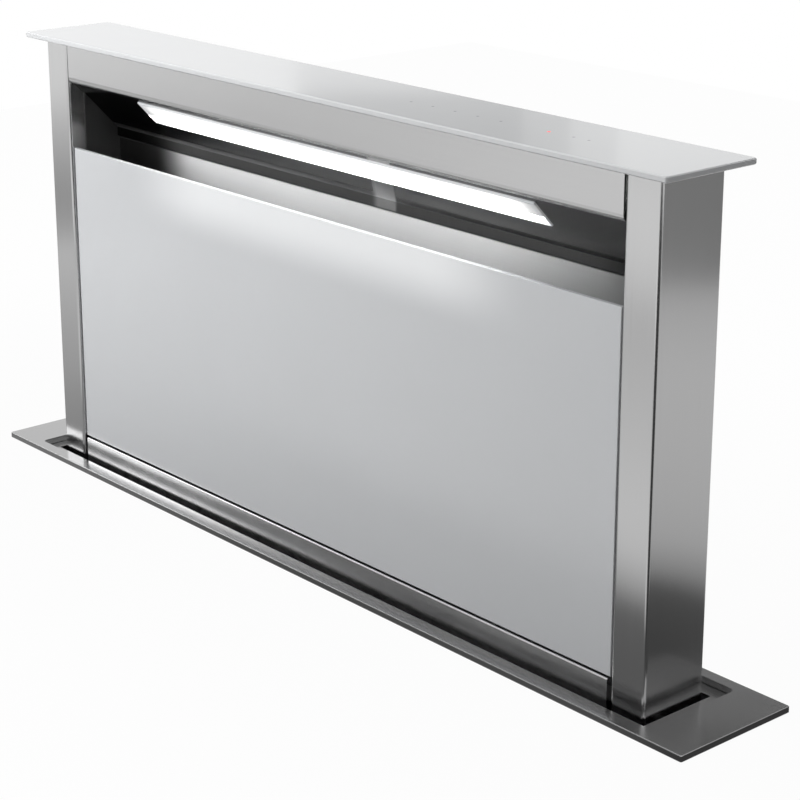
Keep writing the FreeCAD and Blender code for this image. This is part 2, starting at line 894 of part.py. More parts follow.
def make_lower_front():
    """Rail and panel below the door, and the ledge behind it that the filters stand on."""
    rail = new_body()
    wall = S.thin_sheet
    y0, y1, y2 = rail_front, rail_front + wall, rail_front + 2 * wall
    crown = S.rail_top - wall
    section = [
        (y0, -S.head_tail),
        (y1, -S.head_tail),
        (y1, S.rail_top - S.rail_hem),
        (y2, S.rail_top - S.rail_hem),
        (y2, crown, y1, crown),
        (y1, S.rail_top, y1, crown),
        (y0, crown),
    ]
    half = post_inner - S.rail_play
    pad(rail, "YZ_Plane", -half, half, [section])
    node(rail, "lower_rail")

    ledge = new_body()
    front = y1
    back = head_front + S.filter_foot + S.filter_thick + 2 * wall
    top = ledge_top
    section = [
        (front, top - S.ledge_flange),
        (front + wall, top - S.ledge_flange),
        (front + wall, top - wall),
        (back, top - wall),
        (back, top + S.ledge_lip),
        (back - wall, top + S.ledge_lip),
        (back - wall, top),
        (front, top),
    ]
    reach = post_inner - S.seat_gap
    pad(ledge, "YZ_Plane", -reach, reach, [section])
    node(ledge, "filter_ledge")


def make_filters():
    """Three grease filters that lean back in the air channel: a frame, its mesh and a knob to lift it by."""
    lean = arc_sine(lean_sine)
    pitch = 2 * liner_reach / S.filter_count
    frames, meshes = [], []
    for n in range(int(SIZES["filter_count"])):
        x = span(pitch * (n + 0.5) - liner_reach, pitch - S.filter_spacing)
        thick, rim = S.filter_thick, S.filter_rim
        frame = new_body()
        window = rectangle((x[0] + rim, x[1] - rim), (rim, S.filter_length - rim))
        outline = rectangle(x, (term(0), S.filter_length))
        pad(frame, "XZ_Plane", term(0), thick, [outline, window])
        knob = [((x[0] + x[1]) / 2, S.filter_length - rim / 2 - S.thin_sheet / 2, rim / 2 - S.thin_sheet)]
        pad(frame, "XZ_Plane", -S.knob_height, term(0), [], knob)
        frames.append(tilt(frame, lean, filter_foot_y, filter_foot_z))
        mesh = new_body()
        gap = S.hole_slack
        inside = rectangle((x[0] + rim + gap, x[1] - rim - gap), (rim + gap, S.filter_length - rim - gap))
        pad(mesh, "XZ_Plane", S.thin_sheet, thick - S.thin_sheet, [inside])
        meshes.append(tilt(mesh, lean, filter_foot_y, filter_foot_z))
    node(group(frames), "filter_frames")
    node(group(meshes), "filter_meshes")


def make_rear_panel():
    """Back panel between the posts, and the screws that hold it to the pan and the liner's foot."""
    reach = post_inner - S.seat_gap
    panel = block((-reach, reach), (rear_sheet_front, head_back), (-S.head_tail, cover_under - S.seat_gap))
    pitch = 2 * reach / S.rear_screw_count
    places = [pitch * (n + 0.5) - reach for n in range(int(SIZES["rear_screw_count"]))]
    height = liner_foot + S.edge_margin
    holes = [(place, rear_sheet_front, height) for place in places]
    hole = S.small_screw_radius + S.hole_slack
    node(drilled(panel, "y", holes, hole, S.thin_sheet), "rear_panel")
    heads = [(place, head_back, height) for place in places]
    node(group(small_screws("y", heads, 1, 2 * S.thin_sheet)), "rear_screws")


def make_base():
    """Plate that ties the posts at the foot of the head, the two lift nuts on it and the guide shoes."""
    top = -S.head_tail
    outline = [
        (-post_outer, head_front),
        (post_outer, head_front),
        (post_outer, head_back),
        (switch_place + S.trip_width / 2, head_back),
        (switch_place + S.trip_width / 2, head_back + S.trip_reach),
        (switch_place - S.trip_width / 2, head_back + S.trip_reach),
        (switch_place - S.trip_width / 2, head_back),
        (-post_outer, head_back),
    ]
    border = S.base_border
    reach = post_inner - border
    opening = rectangle((-reach, reach), (head_front + border, head_back - border))
    passage = S.screw_radius + S.thin_sheet
    holes = [(side * post_middle, head_middle, passage) for side in (-1, 1)]
    base = new_body()
    pad(base, "XY_Plane", top - S.base_thick, top, [outline, opening], holes)
    node(base, "head_base")

    nuts, shoes = [], []
    for side in (-1, 1):
        place = side * post_middle
        body = block(span(place, S.nut_width), span(head_middle, S.nut_depth), (top, top + S.nut_height))
        nuts.append(drilled(body, "z", [(place, head_middle, top)], S.screw_radius + S.run_gap, S.nut_height))
    node(group(nuts), "lift_nuts")

    bar_half = S.rail_bar_width / 2
    tip = body_inner - S.rail_bar_depth
    far = body_inner - 2 * S.thin_sheet
    for side in (-1, 1):
        for low in (top, -S.rail_bar_start - S.shoe_height):
            z = (low, low + S.shoe_height)
            x = (post_outer, far) if side > 0 else (-far, -post_outer)
            groove = (tip - S.shoe_gap, far) if side > 0 else (-far, S.shoe_gap - tip)
            half = bar_half + S.shoe_gap
            body = block(x, (head_middle - half - S.shoe_side, head_middle + half + S.shoe_side), z)
            shoes.append(cut(body, [block(groove, (head_middle - half, head_middle + half), z)]))
    node(group(shoes), "guide_shoes")


# ---------------------------------------------------------------- lift drive in the body
collar_top = -S.head_tail - S.base_thick - S.rise - S.travel_room
drive_top = collar_top - S.collar_height - S.seat_gap - S.bearing_height
drive_under = drive_top - S.drive_plate_thick
bearing_top = drive_top + S.bearing_height
pulley_top = drive_under - S.seat_gap
pulley_under = pulley_top - S.pulley_height
gearbox_top = pulley_under - S.seat_gap
floor_top = gearbox_top - S.gearbox_height - S.motor_length
screw_top = S.nut_height + S.screw_spare - S.head_tail


def make_drive():
    """Cross plate with its bearings, two screws with their pulleys and belt, and the geared motor."""
    bore = S.screw_radius + S.run_gap
    places = [side * post_middle for side in (-1, 1)]
    y = (body_front + 2 * S.body_sheet, body_back - S.body_sheet)
    plate = block((-body_inner, body_inner), y, (drive_under, drive_top))
    holes = [(place, head_middle, drive_under) for place in places]
    node(drilled(plate, "z", holes, S.screw_radius + S.thin_sheet, S.drive_plate_thick), "drive_plate")

    bearings = []
    for place in places:
        size = (span(place, S.bearing_width), span(head_middle, S.bearing_depth), (drive_top, bearing_top))
        holes = [(place, head_middle, drive_top)]
        bearings.append(drilled(block(*size), "z", holes, bore, S.bearing_height))
    node(group(bearings), "screw_bearings")

    for place, name in zip(places, ("left", "right")):
        entry = S.screw_entry if name == "right" else -S.seat_gap
        foot = gearbox_top - entry
        shaft = rod("z", (place, head_middle, foot), S.screw_radius, screw_top - foot)
        collar = rod("z", (place, head_middle, bearing_top + S.seat_gap), S.collar_radius, S.collar_height)
        node(fuse([shaft, collar]), f"lead_screw_{name}")
        wheel = rod("z", (place, head_middle, pulley_under), S.pulley_radius, S.pulley_height)
        cheek = S.pulley_radius + S.pulley_flange
        low = rod("z", (place, head_middle, pulley_under), cheek, S.pulley_cheek)
        high = rod("z", (place, head_middle, pulley_top - S.pulley_cheek), cheek, S.pulley_cheek)
        holes = [(place, head_middle, pulley_under)]
        node(drilled(fuse([wheel, low, high]), "z", holes, bore, S.pulley_height), f"pulley_{name}")

    belt = new_body()
    reach = post_middle
    loops = []
    for radius in (S.pulley_radius + S.belt_slack + S.belt_thick, S.pulley_radius + S.belt_slack):
        low, high = head_middle - radius, head_middle + radius
        loops.append(
            [
                (-reach, low),
                (reach, low, reach, head_middle),
                (reach + radius, head_middle, reach, head_middle),
                (reach, high),
                (-reach, high, -reach, head_middle),
                (-reach - radius, head_middle, -reach, head_middle),
            ]
        )
    margin = S.pulley_cheek + S.belt_slack
    pad(belt, "XY_Plane", pulley_under + margin, pulley_top - margin, loops)
    node(belt, "drive_belt")

    place = post_middle
    gearbox_foot = gearbox_top - S.gearbox_height
    gearbox = rod("z", (place, head_middle, gearbox_foot), S.gearbox_radius, S.gearbox_height)
    motor = rod("z", (place, head_middle, floor_top), S.motor_radius, S.motor_length)
    foot_size = S.motor_foot_size
    foot_z = (floor_top, floor_top + S.motor_foot_thick)
    foot = block(span(place, foot_size), span(head_middle, foot_size), foot_z)
    entry = [(place, head_middle, gearbox_top - S.entry_depth)]
    node(drilled(fuse([gearbox, motor, foot]), "z", entry, bore, S.entry_depth), "lift_gearmotor")

    rails = []
    bar_y = span(head_middle, S.rail_bar_width)
    bar_z = (drive_top + S.rail_bar_start, -S.rail_bar_start)
    for side in (-1, 1):
        tip = body_inner - S.rail_bar_depth
        x = (tip, body_inner) if side > 0 else (-body_inner, -tip)
        rails.append(block(x, bar_y, bar_z))
    node(group(rails), "guide_rails")

    switches = []
    y = (head_back + S.trip_reach + S.switch_gap, body_back - S.body_sheet)
    for travel in (term(0), S.rise):
        low = -S.head_tail - travel - S.switch_height / 2
        box_z = (low, low + S.switch_height)
        switches.append(block(span(switch_place, S.switch_length), y, box_z))
    node(group(switches), "limit_switches")


# ---------------------------------------------------------------- sheet-metal body
scroll_start = S.wheel_radius + S.scroll_gap
scroll_depth = S.wheel_width + 2 * S.wheel_side
control_x = (body_half - S.control_margin - S.control_width, body_half - S.control_margin)
box_half = control_x[0] - S.control_gap
port_half = box_half - S.port_border
box_back = body_front
box_foot = floor_top + S.box_rise
wheel_z = box_foot + S.body_sheet + S.outlet_run + scroll_start
box_top = wheel_z + scroll_start + S.scroll_growth + S.scroll_headroom + S.body_sheet
box_z = (box_foot, box_top)
port_z = (box_foot + S.port_sill, box_top - S.port_head)
lip_middle = body_half - S.body_lip / 2


def panel_screw_heights():
    """Heights of the screws that hold the front plate to the shell's lips."""
    low, high = floor_top + S.panel_screw_margin, -S.panel_screw_margin
    steps = S.panel_screw_count - 1
    return [low + (high - low) / steps * n for n in range(int(SIZES["panel_screw_count"]))]


def make_body():
    """Folded back shell, the front plate with the blower's port, and the floor."""
    wall, lip = S.body_sheet, S.body_lip
    front = body_front + wall
    outline = [
        (-body_half, front),
        (lip - body_half, front),
        (lip - body_half, front + wall),
        (-body_inner, front + wall),
        (-body_inner, body_back - wall),
        (body_inner, body_back - wall),
        (body_inner, front + wall),
        (body_half - lip, front + wall),
        (body_half - lip, front),
        (body_half, front),
        (body_half, body_back),
        (-body_half, body_back),
    ]
    shell = new_body()
    pad(shell, "XY_Plane", floor_top, tray_under, [outline])
    places = [(side * lip_middle, front, z) for side in (-1, 1) for z in panel_screw_heights()]
    hole = S.small_screw_radius + S.hole_slack
    node(drilled(shell, "y", places, hole, wall), "duct_back")

    plate = new_body()
    shape = rectangle((-body_half, body_half), (floor_top, tray_under))
    port = rectangle((-port_half, port_half), port_z)
    circles = [(x, z, hole) for x, _, z in places]
    corner_x = box_half - S.edge_margin
    corners = [(side * corner_x, z) for side in (-1, 1) for z in box_screw_heights()]
    circles += [(x, z, hole) for x, z in corners]
    pad(plate, "XZ_Plane", body_front, front, [shape, port], circles)
    node(plate, "duct_front")

    floor = block((-body_half, body_half), (body_front, body_back), (floor_top - wall, floor_top))
    node(floor, "duct_floor")

    heads = [(x, body_front, z) for x, _, z in places]
    screws = small_screws("y", heads, -1, 3 * wall)
    inner_heads = [(x, body_front - S.body_sheet, z) for x, z in corners]
    screws += small_screws("y", inner_heads, -1, 3 * wall)
    node(group(screws), "panel_screws")


def box_screw_heights():
    """Heights of the screws that hold the blower box to the front plate."""
    low, high = box_z[0] + S.edge_margin, box_z[1] - S.edge_margin
    return [low, (low + high) / 2, high]


# ---------------------------------------------------------------- blower
flange_half = S.outlet_radius + S.flange_border
outlet_y = box_back - S.flange_room - flange_half
scroll_front, scroll_back = span(outlet_y, scroll_depth)
wheel_x = -S.scroll_shift
wheel_y = scroll_front + S.wheel_side
throat_width = scroll_start + 3 * S.scroll_growth
outlet_x = wheel_x + throat_width / 2
scroll_foot = box_foot + S.body_sheet
motor_back = scroll_front - S.scroll_sheet
box_front = motor_back - S.fan_motor_length - S.motor_room - S.body_sheet


def scroll_outline(inset):
    """A spiral of three growing quarter turns that runs straight down into the outlet."""
    start, growth = scroll_start - inset, S.scroll_growth
    right = wheel_x + start + 3 * growth
    return [
        (wheel_x + inset, scroll_foot),
        (wheel_x + inset, wheel_z - start),
        (wheel_x, wheel_z - start, wheel_x, wheel_z),
        (wheel_x - start, wheel_z, wheel_x + growth, wheel_z),
        (wheel_x + growth, wheel_z + start + growth, wheel_x + growth, wheel_z - growth),
        (right, wheel_z - growth),
        (right, scroll_foot),
    ]


def make_blower():
    """Scroll with its two side plates, the wheel of pressed blades on its shaft and the motor."""
    outer = scroll_outline(term(0))
    inner = scroll_outline(S.scroll_sheet)
    del outer[1]
    del inner[1]
    wall = S.scroll_sheet
    band = new_body()
    pad(band, "XZ_Plane", scroll_front, scroll_back, [outer])
    pocket(band, "XZ_Plane", scroll_front, scroll_back, [inner])
    node(band, "scroll_wall")

    inlet_plate = new_body()
    circles = [(wheel_x, wheel_z, S.wheel_radius - S.inlet_lap)]
    pad(inlet_plate, "XZ_Plane", scroll_back, scroll_back + wall, [outer], circles)
    node(inlet_plate, "scroll_inlet_plate")

    motor_plate = new_body()
    circles = [(wheel_x, wheel_z, S.hub_radius)]
    pad(motor_plate, "XZ_Plane", scroll_front - wall, scroll_front, [outer], circles)
    node(motor_plate, "scroll_motor_plate")

    hub = new_body()
    blade_start = wheel_y + S.wheel_back
    tip_y = wheel_y + S.wheel_width
    ring_y = (tip_y - S.wheel_ring, tip_y)
    bore = S.fan_shaft_radius + S.run_gap
    disc = [(wheel_x, wheel_z, S.wheel_radius), (wheel_x, wheel_z, bore)]
    pad(hub, "XZ_Plane", wheel_y, blade_start, [], disc)
    boss = [(wheel_x, wheel_z, S.hub_radius), (wheel_x, wheel_z, bore)]
    pad(hub, "XZ_Plane", wheel_y, wheel_y + S.hub_length, [], boss)
    ring = new_body()
    rim = [(wheel_x, wheel_z, S.wheel_radius), (wheel_x, wheel_z, S.wheel_radius - S.wheel_ring)]
    pad(ring, "XZ_Plane", *ring_y, [], rim)
    pieces = [hub, ring]
    step = 360.0 / SIZES["blade_count"]
    blade_middle = S.wheel_radius - S.blade_chord / 2 - S.thin_sheet
    for n in range(int(SIZES["blade_count"])):
        blade = doc.addObject("Part::Box", part_name("Blade"))
        bind(blade, "Length", S.blade_chord)
        bind(blade, "Width", ring_y[0] - blade_start)
        bind(blade, "Height", S.blade_thick)
        turn = math.radians(step * n)
        setting = FreeCAD.Rotation(FreeCAD.Vector(0, 1, 0), -step * n - SIZES["blade_set"])
        blade.Placement.Rotation = setting
        along = setting.multVec(FreeCAD.Vector(1, 0, 0))
        bind(blade, "Placement.Base.x", wheel_x + blade_middle * math.cos(turn) - S.blade_chord / 2 * along.x)
        bind(blade, "Placement.Base.y", blade_start)
        bind(blade, "Placement.Base.z", wheel_z + blade_middle * math.sin(turn) - S.blade_chord / 2 * along.z)
        pieces.append(blade)
    node(group(pieces), "blower_wheel")

    motor_start = (wheel_x, motor_back - S.fan_motor_length, wheel_z)
    body = rod("y", motor_start, S.fan_motor_radius, S.fan_motor_length)
    entry = [(wheel_x, motor_back - S.fan_shaft_depth, wheel_z)]
    node(drilled(body, "y", entry, bore, S.fan_shaft_depth), "fan_motor")
    shaft_start = motor_back - S.fan_shaft_depth + S.seat_gap
    shaft_length = wheel_y + S.hub_length - shaft_start
    node(rod("y", (wheel_x, shaft_start, wheel_z), S.fan_shaft_radius, shaft_length), "fan_shaft")


def make_blower_box():
    """Box round the blower, open towards the body's port, and its front cover."""
    wall = S.body_sheet
    shell = new_body()
    x = (-box_half, box_half)
    z = box_z
    pad(shell, "XZ_Plane", box_front + wall, box_back, [rectangle(x, z)])
    inside = rectangle((x[0] + wall, x[1] - wall), (z[0] + wall, z[1] - wall))
    pocket(shell, "XZ_Plane", box_front + wall, box_back - wall, [inside])
    hole = S.small_screw_radius + S.hole_slack
    corner_x = box_half - S.edge_margin
    circles = [(side * corner_x, height, hole) for side in (-1, 1) for height in box_screw_heights()]
    port = rectangle((-port_half, port_half), port_z)
    pocket(shell, "XZ_Plane", box_back - wall, box_back, [port], circles)
    throat_half = throat_width / 2 - S.scroll_sheet
    throat = rectangle((outlet_x - throat_half, outlet_x + throat_half), (scroll_front, scroll_back))
    pocket(shell, "XY_Plane", z[0], z[0] + wall, [throat])
    node(shell, "blower_box")

    cover = block(x, (box_front, box_front + wall), z)
    node(cover, "blower_cover")


def make_outlet():
    """Round outlet collar under the box, with two sprung non-return flaps on their pins."""
    top = box_z[0]
    flange_low = top - S.outlet_flange_thick
    collar = new_body()
    half = flange_half
    bore = S.outlet_radius - S.outlet_wall
    square = rectangle((outlet_x - half, outlet_x + half), (outlet_y - half, outlet_y + half))
    pad(collar, "XY_Plane", flange_low, top, [square], [(outlet_x, outlet_y, bore)])
    foot = flange_low - S.outlet_length
    rings = [(outlet_x, outlet_y, S.outlet_radius), (outlet_x, outlet_y, bore)]
    pad(collar, "XY_Plane", foot, flange_low, [], rings)
    flap_z = flange_low - S.flap_drop
    pin_seats = [(outlet_x + side * S.flap_spacing, flap_z, S.flap_pin_radius) for side in (-1, 1)]
    reach = S.outlet_radius - S.thin_sheet
    pocket(collar, "XZ_Plane", outlet_y - reach, outlet_y + reach, [], pin_seats)
    node(collar, "outlet_collar")

    pins, springs = [], []
    barrel_half = bore - S.flap_barrel_end
    for side in (-1, 1):
        x = outlet_x + side * S.flap_spacing
        pins.append(rod("y", (x, outlet_y - reach, flap_z), S.flap_pin_radius, 2 * reach))
        start = outlet_y + barrel_half + S.seat_gap
        outside = rod("y", (x, start, flap_z), S.spring_radius, S.spring_length)
        pin_hole = S.flap_pin_radius + S.run_gap
        springs.append(drilled(outside, "y", [(x, start, flap_z)], pin_hole, S.spring_length))
    node(group(pins), "flap_pins")
    node(group(springs), "flap_springs")

    for side, name in ((-1, "left"), (1, "right")):
        x = outlet_x + side * S.flap_spacing
        disc = rod("z", (outlet_x, outlet_y, flap_z), bore - S.flap_gap, S.flap_thick)
        far = S.outlet_radius
        keep = (x, outlet_x + far) if side > 0 else (outlet_x - far, x)
        half_disc = doc.addObject("Part::Common", part_name("Common"))
        half_disc.Base = disc
        half_disc.Tool = block(keep, (outlet_y - far, outlet_y + far), (flap_z, flap_z + S.flap_thick))
        barrel = rod("y", (x, outlet_y - barrel_half, flap_z), S.flap_barrel, 2 * barrel_half)
        both = fuse([half_disc, barrel])
        notch_x = span(x, 2 * S.spring_radius + 2 * S.flap_gap)
        notch_z = (flap_z - S.flap_barrel, flap_z + S.flap_barrel)
        notches = [
            block(notch_x, (outlet_y + barrel_half, outlet_y + far), notch_z),
            block(notch_x, (outlet_y - far, outlet_y - barrel_half), notch_z),
            rod("y", (x, outlet_y - far, flap_z), S.flap_pin_radius + S.run_gap, 2 * far),
        ]
        node(cut(both, notches), f"flap_{name}")


def make_controls():
    """Control box on the body's front plate: shell, lid, power board and cable gland."""
    wall = S.control_sheet
    x = control_x
    y = (body_front - S.control_depth, body_front)
    z = (box_z[1] - S.control_height, box_z[1])
    shell = new_body()
    pad(shell, "XZ_Plane", y[0] + wall, y[1], [rectangle(x, z)])
    inside = rectangle((x[0] + wall, x[1] - wall), (z[0] + wall, z[1] - wall))
    pocket(shell, "XZ_Plane", y[0] + wall, y[1] - wall, [inside])
    gland_x, gland_y = (x[0] + x[1]) / 2, (y[0] + y[1]) / 2
    gland_hole = [(gland_x, gland_y, S.gland_neck_radius + S.hole_slack)]
    pocket(shell, "XY_Plane", z[0], z[0] + wall, [], gland_hole)
    node(shell, "control_box")
    node(block(x, (y[0], y[0] + wall), z), "control_lid")

    gap, inset = S.power_board_gap, S.board_post_inset
    board_y = y[1] - wall - gap
    board_x = (x[0] + gap, x[1] - gap)
    board_z = (z[0] + S.gland_clear, z[1] - gap)
    posts = []
    for px in (board_x[0] + inset, board_x[1] - inset):
        for pz in (board_z[0] + inset, board_z[1] - inset):
            posts.append(rod("y", (px, board_y, pz), S.small_head_radius, gap))
    board_front = board_y - S.board_thick
    flat = block(board_x, (board_front, board_y), board_z)
    coil_y = (board_front - S.coil_height, board_front)
    coil = block(span(gland_x, S.coil_size), coil_y, span((z[0] + z[1]) / 2, S.coil_size))
    node(fuse([flat, coil] + posts), "power_board")

    gland = rod("z", (gland_x, gland_y, z[0] - S.gland_length), S.gland_radius, S.gland_length)
    neck_length = wall + S.gland_inside
    neck = rod("z", (gland_x, gland_y, z[0]), S.gland_neck_radius, neck_length)
    entry = [(gland_x, gland_y, z[0] - S.gland_length)]
    node(drilled(fuse([gland, neck]), "z", entry, S.gland_bore, S.gland_length + neck_length), "cable_gland")


# ---------------------------------------------------------------- fixings to the worktop and the cabinet
def make_fixings():
    """Clamps that pull the trim down on the worktop, and feet that hold the body to the cabinet."""
    clamps, screws, feet = [], [], []
    sheet_out = S.clamp_sheet
    clamp_top = -S.worktop_thick - S.clamp_room
    clamp_y = body_back - S.clamp_edge - S.clamp_width / 2
    hole_y = S.foot_width / 2 - S.foot_hole_edge
    for side in (-1, 1):
        for row in (-1, 1):
            y = span(row * clamp_y, S.clamp_width)
            leg_z = (clamp_top - S.clamp_leg, clamp_top)
            legs = (body_half, body_half + sheet_out)
            arms = (body_half, body_half + S.clamp_reach)
            leg_x = legs if side > 0 else (-legs[1], -legs[0])
            arm_x = arms if side > 0 else (-arms[1], -arms[0])
            arm = block(arm_x, y, (clamp_top - sheet_out, clamp_top))
            place_x = side * (body_half + S.clamp_reach / 2 + sheet_out)
            place_y = row * clamp_y
            bracket = fuse([block(leg_x, y, leg_z), arm])
            hole = [(place_x, place_y, clamp_top - sheet_out)]
            clamps.append(drilled(bracket, "z", hole, S.clamp_screw_radius + S.run_gap, sheet_out))
            pad_top = -S.worktop_thick
            shank_top = pad_top - S.clamp_pad_thick
            shank_low = pad_top - S.clamp_screw_length
            shank = rod("z", (place_x, place_y, shank_low), S.clamp_screw_radius, shank_top - shank_low)
            tip = rod("z", (place_x, place_y, shank_top), S.clamp_pad_radius, S.clamp_pad_thick)
            grip = rod("z", (place_x, place_y, shank_low), S.clamp_pad_radius, S.clamp_pad_thick)
            screws.append(fuse([shank, tip, grip]))
        low = floor_top - S.body_sheet - S.foot_drop
        legs = (body_half, body_half + sheet_out)
        soles = (body_half, body_half + S.foot_reach)
        leg_x = legs if side > 0 else (-legs[1], -legs[0])
        sole_x = soles if side > 0 else (-soles[1], -soles[0])
        leg = block(leg_x, span(term(0), S.foot_width), (low, low + S.foot_leg))
        sole = block(sole_x, span(term(0), S.foot_width), (low, low + sheet_out))
        holes = [(side * (body_half + S.foot_hole_reach), row * hole_y, low) for row in (-1, 1)]
        feet.append(drilled(fuse([leg, sole]), "z", holes, S.foot_hole_radius, sheet_out))
    node(group(clamps), "worktop_clamps")
    node(group(screws), "clamp_screws")
    node(group(feet), "cabinet_feet")


make_trim()
make_post(-1, "post_left")
make_post(1, "post_right")
make_cover()
make_fascia()
make_liner()
make_lamp()
make_cavity_caps()
make_door()
make_lower_front()
make_filters()
make_rear_panel()
make_base()
make_drive()
make_body()
make_blower()
make_blower_box()
make_outlet()
make_controls()
make_fixings()
doc.recompute()

faults = [item.Name for item in doc.Objects if "Invalid" in item.State or "Error" in item.State]
for item in NODES:
    if item.Shape.isNull() or not item.Shape.isValid() or not item.Shape.Solids:
        faults.append(item.Label)
if faults:
    raise SystemExit(f"failed: {faults}")
os.makedirs("parts", exist_ok=True)
for item in NODES:
    item.Shape.exportStep(f"parts/{item.Label}.step")
print(len(NODES), "nodes written")
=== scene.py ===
"""Looks for a worktop downdraft vent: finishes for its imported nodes, its fine pieces and a studio.

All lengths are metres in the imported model's frame: +Z is up out of the worktop, the glass faces -Y.
"""

import json
import logging
import math
from collections.abc import Callable, Mapping, Sequence
from dataclasses import dataclass, field
from enum import Enum
from functools import cache

import bmesh
import bpy
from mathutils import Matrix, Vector

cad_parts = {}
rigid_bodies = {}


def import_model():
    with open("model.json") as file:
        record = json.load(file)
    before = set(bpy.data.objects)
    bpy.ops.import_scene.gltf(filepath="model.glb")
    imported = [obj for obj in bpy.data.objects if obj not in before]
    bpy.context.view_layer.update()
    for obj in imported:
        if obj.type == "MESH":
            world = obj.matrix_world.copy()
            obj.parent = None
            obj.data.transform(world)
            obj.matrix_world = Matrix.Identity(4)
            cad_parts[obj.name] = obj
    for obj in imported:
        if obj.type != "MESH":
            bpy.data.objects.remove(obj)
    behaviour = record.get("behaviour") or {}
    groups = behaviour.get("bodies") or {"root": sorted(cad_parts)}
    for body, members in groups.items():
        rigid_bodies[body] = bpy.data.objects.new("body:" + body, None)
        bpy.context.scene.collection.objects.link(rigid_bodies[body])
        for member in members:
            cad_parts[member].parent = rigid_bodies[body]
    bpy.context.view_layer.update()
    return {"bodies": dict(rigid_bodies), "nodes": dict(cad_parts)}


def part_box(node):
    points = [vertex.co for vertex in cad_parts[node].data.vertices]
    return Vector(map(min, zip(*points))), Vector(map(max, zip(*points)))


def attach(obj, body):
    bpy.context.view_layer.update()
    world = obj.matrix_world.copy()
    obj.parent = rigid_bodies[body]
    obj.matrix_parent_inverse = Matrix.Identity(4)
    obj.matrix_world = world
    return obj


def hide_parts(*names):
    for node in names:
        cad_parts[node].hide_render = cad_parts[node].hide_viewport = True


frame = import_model()

log = logging.getLogger("downdraft_vent")

Pair = tuple[float, float]
Triple = tuple[float, float, float]
Colour = Triple

BLACK: Colour = (0.0, 0.0, 0.0)
WHITE: Colour = (1.0, 1.0, 1.0)


